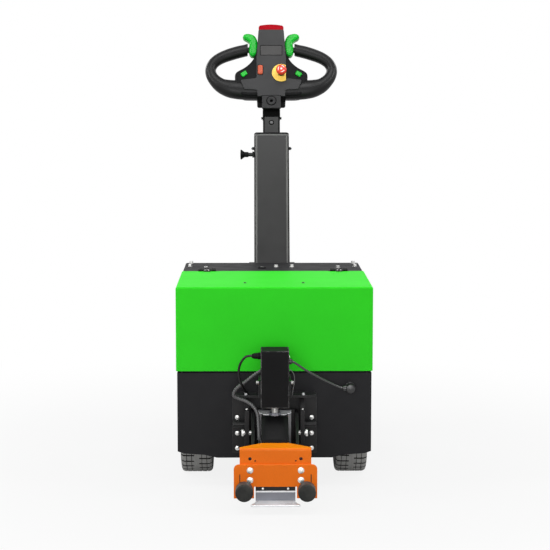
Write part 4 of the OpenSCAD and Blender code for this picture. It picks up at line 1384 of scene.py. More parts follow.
@dataclass
class Tiller:
    """Rear bracket, tilt pin, outer column, lock plunger and inner tube."""

    at: Matrix
    body: Matrix
    width: float = 111.0
    depth: float = 60.0
    wall: float = 4.0
    top: float = 383.0
    foot: Flat = (50.0, 20.0)
    corner: float = 10.0
    tube_w: float = 54.0
    tube_d: float = 40.0
    tube_bottom: float = 173.0
    head_u: float = 465.0
    plunger_u: float = 319.0
    pivot: Flat = (706.0, 585.0)
    painted_light_turn: Flat = (4.0, 29.0)
    tube_shade_normal: float = 0.04
    outside_share: float = 0.43
    cap_h: float = 5.0
    rim_h: float = 5.0
    tube_gap: float = 0.6
    end_bolt_u: float = 338.0
    side_screw_u: float = 329.0
    tube_wall: float = 3.0
    tube_in_head: float = 60.0
    stop_down: float = 44.0
    shade_sleeve_down: float = 25.0
    shade_sleeve_l: float = 27.0
    index_down: float = 75.0
    index_pitch: float = 36.0
    bracket_y: float = 659.0
    bracket_bolt_x: float = 50.0
    bracket_bolt_z: Flat = (452.0, 512.0)

    def build(self) -> None:
        """Build and dress the tiller's pieces."""
        dress_solid("tiller_bracket", BRACKET_BLACK, edge=1.5)
        self.pin()
        self.column()
        self.plunger()
        self.tube()
        self.bracket_bolts()

    def pin(self) -> None:
        """Build the tilt pin with its chamfered and grooved ends."""
        part = Part("tilt_pin", self.body, ZINC)
        y, z = self.pivot
        half = self.width / 2 - 0.5
        part.lathe([(0, -half), (6.8, -half), (8, 1.2 - half), (8, 4 - half), (7, 4 - half),
                    (7, 5.4 - half), (8, 5.4 - half), (8, half - 5.4), (7, half - 5.4),
                    (7, half - 4), (8, half - 4), (8, half - 1.2), (6.8, half), (0, half)],
                   aimed((0.0, y, z), (1, 0, 0)), 40)
        part.done("chassis", ["tiller_pin"])

    def column(self) -> None:
        """Build the outer column: rounded tube, cap, slanted foot and side bolts."""
        w, d = self.width / 2, self.depth / 2
        part = Part("outer_column", self.at, COLUMN_GREY)
        outer = rectangle(-w, w, -d, d, self.corner)
        inner = rectangle(self.wall - w, w - self.wall, self.wall - d, d - self.wall, 6.0)
        front, back = self.foot
        shoulder = self.top - self.cap_h - self.rim_h
        part.plate(outer, shoulder + front, facing_up(-front), [inner], 1.0)
        tube_x, tube_y = self.tube_w / 2, self.tube_d / 2
        gap = rectangle(-tube_x - self.tube_gap, tube_x + self.tube_gap,
                        -tube_y - self.tube_gap, tube_y + self.tube_gap, 4.5)
        cut = Part("cut", self.at, COLUMN_GREY)
        slope = [(-d - 1, -front - 4), (d + 2, -front - 4), (d + 2, 0.5 - back), (-d - 1, -front - 0.5)]
        cut.plate(slope, 2 * w + 4, facing_side(-w - 2), edge=0.05, segments=1)
        part.carve(cut)
        slot = Part("slot", self.at, COLUMN_GREY)
        slot.block((self.wall - w, 0, -front - 6), (w - self.wall, d + 4, 22), 0.2, 1)
        part.carve(slot)
        self.paint_bend_highlight_and_side_shade(part)
        # The band under the cap takes the lighter grey as a painted highlight.
        part.paint(COLUMN_BEND_HIGHLIGHT).plate(outer, self.rim_h, facing_up(shoulder), [gap], 0.3)
        part.paint(MOULDED)
        part.plate(outer, self.cap_h, facing_up(self.top - self.cap_h), [gap], self.cap_h - 0.6, 7)
        part.plate(rectangle(-tube_x - 4, tube_x + 4, -tube_y - 4, tube_y + 4, 6), 3.0,
                   facing_up(self.top - 0.6), [gap], 0.8)
        for s in SIDES:
            end = aimed((s * w, -4.0, self.end_bolt_u), (s, 0, 0))
            part.bolt(end, 8.5, Head.HEX, SCREW_BLACK)
            part.paint(HOOK_STEEL).lathe([(0, 3), (2.6, 3), (2.6, 8.6), (2.1, 9.2), (0, 9.2)], end, 20)
        part.bolt(aimed((-w, -2.0, self.side_screw_u), (-1, 0, 0)), 8.0, Head.DOME, ZINC)
        part.done("tiller", ["tiller_column"], 30)

    def paint_bend_highlight_and_side_shade(self, part: Part) -> None:
        """Paint a highlight on the front of the column's bends and painted shade on its sides.

        Args:
            part: the column, with nothing on it yet but its tube.
        """
        bend, side = (part.paint(finish).index for finish in (COLUMN_BEND_HIGHLIGHT, COLUMN_SIDE_SHADE))
        part.mesh.normal_update()
        for face in part.mesh.faces:
            spot = face.calc_center_median()
            if max(abs(spot.x) / self.width, abs(spot.y) / self.depth) < self.outside_share:
                continue
            turn = math.degrees(math.asin(min(1.0, abs(face.normal.x))))
            # Faces turned further take painted shade; the turn before them takes a painted highlight.
            if turn > self.painted_light_turn[1]:
                face.material_index = side
            elif turn > self.painted_light_turn[0]:
                face.material_index = bend

    def plunger(self) -> None:
        """Build the spring plunger with its hexagon body, stem and flared knob."""
        part = Part("lock_plunger", self.at, SCREW_BLACK)
        at = aimed((-self.width / 2, 0.0, self.plunger_u), (-1, 0, 0))
        part.lathe([(0, -18), (5.2, -18), (5.8, -17), (5.8, 0), (0, 0)], at, 32)
        part.plate(circle((0, 0), 10.0, 6), 6.0, at, edge=0.8)
        part.lathe([(0, 5), (6, 5), (6, 18), (5.4, 18.6), (0, 18.6)], at, 32)
        part.paint(MOULDED)
        rings = []
        for radius, height in ((6.4, 18), (8, 18.8), (8.4, 20), (8.4, 29.4), (8.8, 31), (10, 33),
                               (13, 37), (15.4, 40), (16, 41.4), (15.8, 42.8), (14.6, 43.8), (11, 44),
                               (4, 44.4)):
            ridge = 0.45 if 13.5 < radius < 16.5 else 0.0
            ring = []
            for k, a in enumerate(turns(72)):
                r = radius - ridge * (k % 3 == 0)
                ring.append((r * math.cos(a), r * math.sin(a), height))
            rings.append(ring)
        part.loft(rings, at)
        part.done("tiller", ["plunger"])

    def tube(self) -> None:
        """Build the inner tube with its stop button and clamp bolts."""
        part = Part("sliding_tube", self.at, TUBE_BLACK)
        w, d, t = self.tube_w / 2, self.tube_d / 2, self.tube_wall
        hollow = rectangle(t - w, w - t, t - d, d - t, 3)
        part.plate(rectangle(-w, w, -d, d, 5), self.head_u + self.tube_in_head - self.tube_bottom,
                   facing_up(self.tube_bottom), [hollow], 0.8)
        part.mesh.normal_update()
        # The tube's sides take the near-black as painted shade.
        side = part.paint(COLUMN_SIDE_SHADE).index
        for face in part.mesh.faces:
            if abs(face.normal.x) > self.tube_shade_normal:
                face.material_index = side
        stop = aimed((0.0, -d, self.head_u - self.stop_down), (0, -1, 0))
        # The near-black ring round the stop is painted shade.
        part.paint(SHADE_BLACK).lathe([(5, -0.5), (8.6, -0.5), (8.6, 0.15), (5, 0.2)], stop, 32)
        part.paint(STOP_STEEL).lathe([(0, -0.5), (5, -0.5), (5, 0.2), (3.4, 0.4), (0, 0.45)], stop, 32)
        # A thin sleeve under the head, in near-black as painted shade.
        part.paint(SHADE_BLACK)
        foot = self.head_u - self.shade_sleeve_down
        part.plate(rectangle(-w - 1, w + 1, -d - 1, d + 1, 6), self.shade_sleeve_l, facing_up(foot),
                   [rectangle(0.4 - w, w - 0.4, 0.4 - d, d - 0.4, 5)], 0.6)
        for s in SIDES:
            part.bolt(aimed((s * w, -4.0, foot + 1), (s, 0, 0)), 7.0, Head.HEX, SCREW_BLACK)
        for k in range(5):
            height = self.head_u - self.index_down - self.index_pitch * k
            at = aimed((-w, 0.0, height), (-1, 0, 0))
            part.paint(LEAD).lathe([(0, -1), (6, -1), (6, 0.15), (0, 0.15)], at, 24)
        part.done("tiller_head", ["inner_tube"], 30)

    def bracket_bolts(self) -> None:
        """Build the bolts that hold the bracket to the rear panel."""
        part = Part("bracket_bolts", self.body, ZINC)
        for x in (-self.bracket_bolt_x, self.bracket_bolt_x):
            for z in self.bracket_bolt_z:
                part.bolt(aimed((x, self.bracket_y, z), (0, 1, 0)), 13.0, Head.HEX, ZINC)
        part.done("chassis")


@dataclass
class ControlHead:
    """Console, loop handles, throttles and switches at the top of the tiller."""

    at: Matrix
    base: float = 465.0
    top: float = 759.0
    console_x: float = 41.0
    front: float = -23.0
    back: float = 30.0
    stub: Flat = (76.0, 213.0)
    stub_slope: float = 16.0
    bar_deep: float = 26.0
    shaft_l: float = 44.0
    loop_split: float = 130.0
    shade_pad_x: float = 45.6
    shade_pad_h: Flat = (23.4, 47.0)
    cover_back: float = -17.0
    cover_deep: float = 13.0
    plate_x: float = 34.0
    plate_h: Flat = (185.0, 217.0)
    plate_back: float = -28.2
    belly_h: float = 272.0
    throttle_h: float = 187.0
    thumb: Flat = (88.0, 121.0)
    thumb_turn: float = 35.0
    thumb_back: float = -14.0
    rocker_at: Flat = (-35.5, 133.0)
    stop_at: Flat = (32.0, 122.0)
    stop_r: float = 30.0
    clamp_x: float = 30.0
    clamp_h: float = 43.0
    boss_h: float = 25.0
    body: str = "tiller_head"
    wing: tuple[Flat, ...] = (
        (52, 46.5), (80, 47), (94, 50), (104, 58), (111, 70), (115.6, 92), (117.6, 110), (117, 122),
        (113, 129), (106, 134.5), (97, 139.5), (87, 145.5), (78, 152.5), (69.5, 160.5),
        (61.5, 170.5), (55, 182), (50, 196), (47, 214))
    loop_line: tuple[Point, ...] = (
        (-70, 215, 19.4), (-90, 210.9, 19.6), (-106, 207, 20), (-119, 203.2, 20), (-132, 198.8, 20),
        (-145, 194, 19.6), (-159, 188, 19.2), (-173.3, 179.6, 18.6), (-185, 169.6, 18),
        (-192.6, 158, 17.6), (-196.5, 145, 17.5), (-194.4, 128.5, 18), (-184.7, 110.7, 19.6),
        (-163, 90.6, 24), (-136, 80, 29), (-110, 76.2, 31.4), (-80, 74, 32), (-50, 73, 32),
        (-20, 73, 32))

    def build(self) -> None:
        """Build and dress the head's pieces."""
        self.console()
        self.cover()
        self.loops()
        self.belly()
        self.throttles()
        self.buttons()
        self.rocker()
        self.stop()
        self.clamp()

    def u(self, height: float) -> float:
        """Turn a height above the clamp into one along the tiller."""
        return self.base + height

    def console(self) -> None:
        """Build the console: an upright body with two rounded wings, and a near-black pad below it as
        painted shade.
        """
        part = Part("console_body", self.at, MOULDED)
        depth = self.back - self.front
        half = [(x, self.u(h)) for x, h in ((45.5, 24), (47, 60), (48.5, 175), (41, 275))]
        part.plate(rounded(mirrored(half), 5.0), depth, facing_front(self.back), edge=5.0, segments=5)
        side = [(p.x, self.u(p.y)) for p in curve_through(self.wing, 4)]
        part.plate(mirrored(side), depth - 0.6, facing_front(self.back - 0.6), edge=9.0, segments=7)
        foot, brim = (self.u(height) for height in self.shade_pad_h)
        shade_pad = rectangle(-self.shade_pad_x, self.shade_pad_x, foot, brim, 6.0)
        # Near-black pad round the clamp below the console: painted shade.
        part.paint(SHADE_BLACK)
        part.plate(shade_pad, depth - 1.0, facing_front(self.back - 2), edge=1.6, segments=3)
        for s in SIDES:
            for height in (62.0, 250.0):
                spot = aimed((s * 26.0, self.back - 0.6, self.u(height)), (0, 1, 0))
                part.bolt(spot, 7.0, Head.DOME, SCREW_BLACK)
        part.done(self.body, ["head_console"], 50)

    def cover(self) -> None:
        """Build the lighter T-shaped cover and the blank plate let into it."""
        x = self.console_x
        half = [(x, 274), (x + 7, 175), (x + 7, 105), (x + 59, 99), (x + 46, 67), (x + 5, 64),
                (x + 3, 42)]
        outline = rounded([(a, self.u(b)) for a, b in mirrored(half)], 5.0)
        socket = rectangle(-31.6, 31.6, self.u(28), self.u(45.6), 2.0)
        part = Part("console_cover_T", self.at, COVER_GREY)
        part.plate(outline, self.cover_deep, facing_front(self.cover_back), edge=2.0, segments=4)
        cut = Part("cut", self.at, COVER_GREY)
        cut.plate(socket, 40.0, facing_front(0.0), edge=0.1, segments=1)
        cut.plate(self.plate_outline(2.0, 2.5), 8.0, facing_front(self.plate_back - 0.6),
                  edge=0.1, segments=1)
        part.carve(cut)
        seat = facing_front(self.plate_back)
        part.paint(NAME_PLATE).plate(self.plate_outline(0.0, 2.0), 1.6, seat, edge=0.4)
        part.paint(MOULDED).plate(self.plate_outline(1.9, 2.5), 0.8, seat, edge=0.2, segments=1)
        part.done(self.body, ["console_cover"], 30)

    def plate_outline(self, wider: float, radius: float) -> Outline:
        """Draw the blank plate's outline, or a wider one round it.

        Args:
            wider: distance outside the plate's edge.
            radius: corner radius.

        Returns:
            The outline.
        """
        x = self.plate_x + wider
        low, high = self.plate_h
        return rectangle(-x, x, self.u(low - wider), self.u(high + wider), radius)

    def loops(self) -> None:
        """Build the two loop handles with the throttle shafts in their upper ends."""
        line = curve_through(self.loop_line, 5)
        points = [(p.x, 0.0, self.u(p.y)) for p in line]
        rings = flat_rings(points, [p.z for p in line], self.bar_deep, 40)
        slope = math.tan(math.radians(self.stub_slope))
        cut = -self.stub[0]
        rings = [ring for ring in rings if max(spot.x for spot in ring) < cut - 2
                 or min(spot.z for spot in ring) < self.u(self.loop_split)]
        middle = Vector((cut, 0.0, self.u(self.stub[1] + 0.8)))
        ends: list[list[Vector]] = []
        for inset, back in ((0.9, 0.0), (0.965, 0.35), (1.0, 1.6)):
            ring = []
            for spot in rings[0]:
                ahead = cut - back - spot.x
                seat = Vector((cut - back, spot.y, spot.z + ahead * slope))
                core = middle - Vector((back, 0.0, back * slope))
                ring.append(core + inset * (seat - core))
            ends.append(ring)
        rings = ends + rings
        for side, name in ((1, "left"), (-1, "right")):
            part = Part(f"loop_handle_{name}", self.at, GRIP)
            part.loft([[(side * spot.x, spot.y, spot.z) for spot in ring] for ring in rings])
            part.paint(SCREW_BLACK)
            x0, z0 = self.stub[0] + 4, self.u(self.stub[1])
            run = (0.0, self.shaft_l / 2, self.shaft_l)
            shaft = [(-side * (x0 - ahead), 0.0, z0 + (ahead - 4) * slope) for ahead in run]
            part.sweep(shaft, [9.0] * len(shaft), 24)
            part.done(self.body, [f"loop_{name}"], 45)

    def belly(self) -> None:
        """Build the red belly switch with its crowned top."""
        part = Part("belly_button", self.at, RED)
        x = self.console_x - 0.5
        crown = [((x + 1) * (1 - i / 8), self.top - 5 * (1 - i / 8) ** 2) for i in range(1, 16)]
        foot = self.u(self.belly_h)
        outline = [(-x, foot), (x, foot), (x, self.top - 10), (x - 1, self.top - 7),
                   *crown, (1 - x, self.top - 7), (-x, self.top - 10)]
        part.plate(outline, 55.0, facing_front(28.0), edge=4.0, segments=6)
        part.done(self.body, ["belly_switch"], 60)

    def throttles(self) -> None:
        """Build the two butterfly throttles with their swept thumb lobes."""
        control = [(-44, 12), (-49.5, 4.5), (-58, 0.8), (-66, 3), (-71, 11), (-73.4, 26),
                   (-70.6, 42), (-73, 50.5), (-80, 57), (-87, 61), (-92, 68), (-89.4, 76),
                   (-80.5, 80.2), (-69, 79.6), (-57.5, 75.6), (-50, 67.5), (-44.4, 53), (-43.2, 32)]
        closed = control[-1:] + control + control[:2]
        smooth = curve_through(closed, 6)[6:-7]
        for side, name in ((1, "left"), (-1, "right")):
            part = Part(f"butterfly_{name}", self.at, GREEN_PLASTIC)
            outline = [(side * p.x, self.u(self.throttle_h + p.y)) for p in smooth]
            part.plate(outline, 30.0, facing_front(14.0), edge=9.0, segments=9)
            part.done(self.body, [f"throttle_{name}"], 60)

    def buttons(self) -> None:
        """Build the two green thumb buttons with their black surrounds."""
        part = Part("thumb_keys", self.at, GREEN_PLASTIC)
        for s in SIDES:
            tilt = Matrix.Rotation(math.radians(-self.thumb_turn * s), 4, "Z")
            seat = facing_front(self.thumb_back, s * self.thumb[0], self.u(self.thumb[1])) @ tilt
            part.paint(GREEN_PLASTIC)
            part.plate(rectangle(-10, 10, -7.5, 7.5, 3.2), 14.0, seat, edge=2.4, segments=4)
            part.paint(MOULDED)
            part.plate(rectangle(-12.6, 12.6, -10, 10, 4.5), 9.0, seat,
                       [rectangle(-10.4, 10.4, -7.9, 7.9, 3.4)], 1.0, 3)
        part.done(self.body, ["thumb_buttons"], 50)

    def rocker(self) -> None:
        """Build the rocker switch in its bezel, pressed at its lower half."""
        part = Part("rocker_key", self.at, ROCKER_RED)
        front = facing_front(-29.0, self.rocker_at[0], self.u(self.rocker_at[1]))
        ends = []
        for height, inset in ((0.0, 0.0), (2.4, 0.0), (3.6, 0.7), (4.4, 2.0), (4.9, 4.0)):
            ring = rectangle(inset - 8.2, 8.2 - inset, inset - 16.0, 16.0 - inset, 5.0 - 0.6 * inset)
            ends.append([(x, z, height - 0.035 * z * height / 4.9) for x, z in ring])
        part.loft(ends, front)
        part.paint(MOULDED)
        part.plate(rectangle(-9.8, 9.8, -17.6, 17.6, 6.2), 2.2, front,
                   [rectangle(-8.4, 8.4, -16.2, 16.2, 5.2)], 0.5)
        part.done(self.body, ["rocker"])

    def stop(self) -> None:
        """Build the yellow stop plate and the red mushroom button with its turn marks."""
        centre = (self.stop_at[0], self.u(self.stop_at[1]))
        edge_x = self.console_x + 6
        limit = math.degrees(math.acos((edge_x - centre[0]) / self.stop_r))
        plate = Part("stop_disc", self.at, STOP_YELLOW)
        outline = arc(centre, self.stop_r, limit, 360 - limit, 56)
        plate.plate(outline, 3.0, facing_front(-30.0), [circle(centre, 9.0)], 0.7)
        plate.done(self.body, ["stop_plate"])
        part = Part("stop_mushroom", self.at, STOP_RED)
        at = facing_front(-33.0, *centre)
        part.paint(MOULDED).lathe([(0, -3), (11.4, -3), (11.4, 3), (10.6, 4), (0, 4)], at)
        part.paint(STOP_RED).lathe(
            [(0, 3), (9.4, 3), (9.4, 20), (14.6, 21), (16.4, 22.4), (17, 25.6), (16.2, 28.8),
             (14.4, 31.2), (11.5, 33), (8, 34), (4, 34.5), (0, 34.6)], at, 56)
        part.paint(MARK_WHITE).lathe([(0, 34.4), (3.4, 34.3), (3.4, 34.8), (0, 35)], at, 32)
        for k in range(3):
            start = 120 * k + 20
            band = arc((0, 0), 11.6, start, start + 70, 12) + arc((0, 0), 9.2, start + 70, start, 12)
            part.plate(band, 2.6, at @ Matrix.Translation((0, 0, 31.4)), edge=0.2, segments=1)
        part.done(self.body, ["stop_button"])

    def clamp(self) -> None:
        """Build the clamp block in front of the tube, with its boss and socket screw; the near-black
        disc in the socket and the ring round the screw are painted shade.
        """
        part = Part("tube_clamp", self.at, CLAMP_GREY)
        outline = rectangle(-self.clamp_x, self.clamp_x, self.u(0), self.u(self.clamp_h), 2.5)
        boss = self.u(self.boss_h)
        part.plate(outline, 11.0, facing_front(self.front), [circle((0.0, boss), 8.8)], 1.2, 3)
        at = facing_front(self.front - 2, 0.0, boss)
        part.lathe([(4.8, 0), (4.8, 8.6), (6, 9.6), (10, 10.6), (12, 10.8), (13.6, 10.2), (14, 6)], at)
        # Near-black ring round the screw and disc in its socket: painted shade.
        part.paint(SHADE_BLACK)
        part.lathe([(13.8, 8.6), (16.4, 8.6), (16.4, 9.2), (13.8, 9.2)], at)
        part.lathe([(0, -2), (4.6, -2), (4.6, 4), (0, 4)], at, 36)
        part.done(self.body, ["head_clamp"])


@dataclass
class Coupler:
    """Fixed hitch bracket, lift actuator and the orange coupler that it raises."""

    at: Matrix
    cover_w: float = 76.0
    cover_y: float = -107.0
    cover_z: Flat = (249.0, 403.0)
    plate_y: float = -256.0
    fold_y: float = -250.0
    fold_z: float = 164.0
    fold_x: float = 93.5
    house_x: float = 36.0
    house_top: float = 223.0
    head_back_y: float = -185.0
    reach: float = -300.0
    bolt_rows: tuple[float, ...] = (196.0, 152.0, 110.0)
    strip_x: Flat = (45.0, 54.6)
    strip_z: Flat = (108.0, 224.0)
    rod_r: float = 10.0
    rod_top: float = 336.0
    head_sheet: float = 5.0
    accessory_hole: Flat = (66.5, 136.0)
    rivet_hole: Flat = (53.0, 130.5)
    slit_x: float = 93.0
    slit_z: Flat = (70.0, 96.0)
    plate_bolts_z: Flat = (106.5, 80.5)
    buffer: Flat = (81.5, 55.5)
    jaw_x: float = 52.0
    jaw_z: float = 20.0

    def build(self) -> None:
        """Build and dress the coupler's pieces."""
        dress_solid("hitch_bracket", BRACKET_BLACK, edge=0.9)
        dress_solid("lift_motor", CAST_IRON, edge=1.0)
        dress_solid("carriage_frame", BRACKET_BLACK, edge=0.9)
        dress_solid("carriage_plate", GUIDE_PLATE, edge=0.7)
        self.gap_shade_and_flange()
        self.cover()
        self.bracket_bolts()
        self.rod()
        self.guides()
        self.housing()
        self.head()
        self.front_plate()
        self.buffers()
        self.jaw()

    def gap_shade_and_flange(self) -> None:
        """Build black strips at the back plate's edges, painted shade of the gap beside it, and the
        flange that it folds over the housing.
        """
        part = Part("plate_rails", self.at, BRACKET_BLACK)
        # Black strips at the plate's sides stand for the dark gap there: painted shade.
        for s in SIDES:
            x0, x1 = sorted(s * x for x in self.strip_x)
            part.block((x0, -45.0, self.strip_z[0]), (x1, -41.6, self.strip_z[1]), 0.8)
        # The flange takes the near-white zinc, lightened against the cover's shade as painted light.
        part.paint(LIP_ZINC_HIGHLIGHT)
        x = self.strip_x[0]
        half = [(x, -43.0), (x, -82.0), (33.0, -92.0), (32.0, -108.0)]
        part.plate(rounded(mirrored(half), 3.0, 3), 1.6, facing_up(self.house_top),
                   [circle((0.0, self.cover_y), 10.4)], 0.4)
        part.done("coupler")

    def cover(self) -> None:
        """Build the square lift cover, folded from one sheet, with its side bolt."""
        a = self.cover_w / 2
        z0, z1 = self.cover_z
        part = Part("lift_shroud", self.at, SHROUD_BLACK)
        part.folded_box((-a, self.cover_y - a, z0), (a, self.cover_y + a, z1), [(0, 0, -1)], 3.5, 2.4)
        part.bolt(aimed((a, self.cover_y, 381.0), (1, 0, 0)), 8.0, Head.DOME, ZINC)
        part.done("chassis", ["lift_cover"], 30)

    def bracket_bolts(self) -> None:
        """Build the bright bolts of the fixed bracket and its arms."""
        part = Part("hitch_bolts", self.at, ZINC)
        for s in SIDES:
            for z in self.bolt_rows:
                part.bolt(aimed((s * 102.0, -5.0, z), (0, -1, 0)), 13.0, Head.CARRIAGE, ZINC)
            part.bolt(aimed((s * 44.0, -64.0, 304.0), (s, 0, 0)), 8.5, Head.HEX, ZINC)
            part.bolt(aimed((s * 75.5, -66.0, 230.6), (0, -0.5, 0.9)), 7.0, Head.DOME, ZINC)
            part.bolt(aimed((s * 78.0, -54.0, 268.0), (0, 0, 1)), 7.5, Head.HEX, ZINC_SHEET)
            part.bolt(aimed((s * 112.6, -34.0, 183.0), (s, 0, 0)), 10.0, Head.DOME, SCREW_BLACK)
        part.done("chassis")

    def rod(self) -> None:
        """Build the bright actuator rod with its dark hexagon nut."""
        part = Part("lift_spindle", self.at, ZINC)
        at = Matrix.Translation((0.0, self.cover_y, 0.0))
        foot, top, r = self.house_top, self.rod_top, self.rod_r
        part.lathe([(0, foot - 18), (r - 1, foot - 18), (r, foot - 17), (r, foot + 1), (0, foot + 1)],
                   at, 40)
        part.paint(HOOK_STEEL)
        part.plate(circle((0, 0), 17.0, 6), 8.0, at @ facing_up(foot), edge=1.0, segments=3)
        part.paint(ZINC)
        thread = []
        for k in range(11):
            thread += [(r, foot + 8 + 2 * k), (r - 1, foot + 9 + 2 * k)]
        part.lathe([(0, foot + 8), *thread, (r, foot + 30), (r, top - 1), (r - 1, top), (0, top)],
                   at, 40)
        part.done("coupler", ["lift_rod"])

    def guides(self) -> None:
        """Build the guide pins with their collars and bright heads."""
        part = Part("guide_rollers", self.at, ZINC)
        for s in SIDES:
            part.bolt(aimed((s * 59.3, -76.2, 216.5), (0, -1, 0.2)), 6.5, Head.DOME, ZINC)
            at = aimed((s * 63.5, -60.0, 165.0), (s, 0, 0))
            part.lathe([(0, 0), (6, 0), (6, 20.6), (9.4, 20.6), (10, 21.2), (10, 25.4), (9.2, 26.5),
                        (4.4, 26.5), (4.0, 24), (0, 24)], at, 40)
        part.done("coupler", ["guide_pins"])

    def housing(self) -> None:
        """Build the wedge-shaped latch housing, its top softly crowned."""
        part = Part("latch_case", self.at, HOUSING_BLACK)
        h, top = self.house_x, self.house_top
        stations = ((-42.0, top - 5, top), (-70.0, top - 5, top), (-112.0, top - 5, top),
                    (-117.0, top - 6, top - 1), (-122.0, top - 10, top - 4), (-152.0, 192.5, 199.0),
                    (-179.0, 173.0, 175.5), (-184.0, 168.6, 169.4), (-185.0, 165.0, 165.4))
        rings = []
        for y, low, high in stations:
            ring = [(-h, y, 110.0), (-h + 2, y, 108.0), (h - 2, y, 108.0), (h, y, 110.0)]
            ring += [(h, y, low - 4), (h - 0.6, y, low - 1.4), (h - 2.4, y, low)]
            for k in range(1, 14):
                t = 1 - k / 7
                ring.append(((h - 3) * t, y, low + (high - low) * (1 - abs(t) ** 5)))
            ring += [(2.4 - h, y, low), (0.6 - h, y, low - 1.4), (-h, y, low - 4)]
            rings.append(ring)
        part.loft(rings)
        hole = Part("hole", self.at, HOUSING_BLACK)
        bore = self.rod_r + 0.2
        hole.lathe([(0, top - 18), (bore, top - 18), (bore, top + 22), (0, top + 22)],
                   Matrix.Translation((0.0, self.cover_y, 0.0)), 40)
        part.carve(hole)
        part.done("coupler", ["latch_housing"], 34)

    def head(self) -> None:
        """Build the orange head: one sheet folded from its top flange to its front face."""
        f = self.fold_x
        part = Part("folded_head", self.at, ORANGE)
        y0, y1, z1 = self.fold_y, self.head_back_y, self.fold_z
        t = self.head_sheet
        flange = [(-self.house_x, y1), (-f, y0 + 15), (-f, y0 + 4), (f, y0 + 4), (f, y0 + 15),
                  (self.house_x, y1)]
        # The top flange takes the lighter orange as painted light.
        part.paint(ORANGE_FLANGE_LIT).plate(rounded(flange, 2.0, 2), t, facing_up(z1 - t), edge=0.7)
        part.paint(ORANGE)
        fold = arc((y0 + 6, z1 - 6), 6.0, 180, 90, 8) + arc((y0 + 6, z1 - 6), 1.2, 90, 180, 4)
        part.plate(fold, 2 * f, facing_side(-f), edge=0.3, segments=1)
        holes = []
        for s in SIDES:
            holes.append(circle((s * self.accessory_hole[0], self.accessory_hole[1]), 4.5, 32))
            holes.append(circle((s * self.rivet_hole[0], self.rivet_hole[1]), 2.2, 24))
        face = rectangle(-f, f, 64.0, z1 - 5.6, 1.5)
        part.plate(face, t, facing_front(y0 + t), holes, 0.5)
        part.paint(SCREW_BLACK)
        for s in SIDES:
            for (x, z), r in ((self.accessory_hole, 8.0), (self.rivet_hole, 4.0)):
                nut = aimed((s * x, y0 + t - 0.2, z), (0, 1, 0))
                part.lathe([(0, 4), (0.5 * r, 4), (0.55 * r, 0), (r, 0), (r, 5.4), (0.9 * r, 6),
                            (0, 6)], nut, 6)
        part.done("coupler", ["coupler_head"], 30)

    def front_plate(self) -> None:
        """Build the orange front plate with its notch, slits and four bright bolts."""
        part = Part("orange_plate", self.at, ORANGE)
        half = [(-56, 63), (-56, 32), (-109, 32), (-109, 109), *arc((-96, 109), 13.0, 180, 90, 8)]
        low, high = self.slit_z
        sides = (-self.slit_x, self.slit_x)
        slits = [rectangle(x - 1.1, x + 1.1, low, high, 1.0) for x in sides]
        part.plate(mirrored(half), 6.0, facing_front(self.fold_y), slits, 1.0, 3)
        # Black blocks set in the slits darken them: painted shade.
        part.paint(SCREW_BLACK)
        for x in sides:
            part.block((x - 2.4, self.fold_y - 3.0, low - 2),
                       (x + 2.4, self.fold_y - 0.4, high + 2), 0.4)
        for s in SIDES:
            for z in self.plate_bolts_z:
                at = aimed((s * self.accessory_hole[0], self.plate_y, z), (0, -1, 0))
                part.bolt(at, 17.0, Head.CARRIAGE, ZINC)
        part.done("coupler", ["coupler_plate"], 30)

    def buffers(self) -> None:
        """Build the two rubber buffers, their sides painted paler as painted light."""
        part = Part("rubber_buffers", self.at, RUBBER)
        for s in SIDES:
            at = aimed((s * self.buffer[0], self.plate_y, self.buffer[1]), (0, -1, 0))
            nose = arc((18.0, 39.0), 5.0, 0.0, 90.0, 6)
            part.paint(RUBBER)
            part.lathe([(0, 0), (21, 0), (22, 1), (22.4, 4), (22.8, 20), *nose, (10, 44), (9.2, 43.4),
                        (0, 43.2)], at, 56)
            # Sides in paler rubber as painted light.
            part.paint(BUFFER_SIDE_LIT)
            part.lathe([(20, 3), (22.6, 3), (23.1, 20), (23.15, 38), (20, 38)], at, 56)
        part.done("coupler", ["buffers"])

    def jaw(self) -> None:
        """Build the jaw: steel face, bright upper edge, black backing and bent lip; the edge and lip
        are near-white zinc that carries a painted highlight.
        """
        part = Part("tow_lip", self.at, HOOK_STEEL)
        y0, x = self.fold_y, self.jaw_x
        back = facing_front(y0 + 6)
        part.plate(rectangle(-x, x, self.jaw_z + 2, 47.0, 1.0), 6.0, back, edge=0.6)
        # Upper edge in near-white zinc: painted highlight.
        part.paint(LIP_ZINC_HIGHLIGHT)
        part.plate(rectangle(-x, x, 46.0, 51.0, 1.0), 6.0, back, edge=1.2, segments=3)
        part.paint(BRACKET_BLACK)
        part.plate(rectangle(-x, x, 50.0, 64.0, 1.0), 5.0, back, edge=0.6)
        # Bent lip in near-white zinc: painted highlight.
        part.paint(LIP_ZINC_HIGHLIGHT)
        half = [(x, y0 + 6), (x, y0 - 14), (x + 14, self.reach + 2)]
        part.plate(rounded(mirrored(half), 3.0, 3), 5.0, facing_up(self.jaw_z), edge=1.2, segments=3)
        for x in (-33.0, 33.0):
            part.bolt(aimed((x, y0 + 1.0, 56.5), (0, -1, 0)), 6.0, Head.CARRIAGE, ZINC)
        part.done("coupler", ["jaw"], 30)


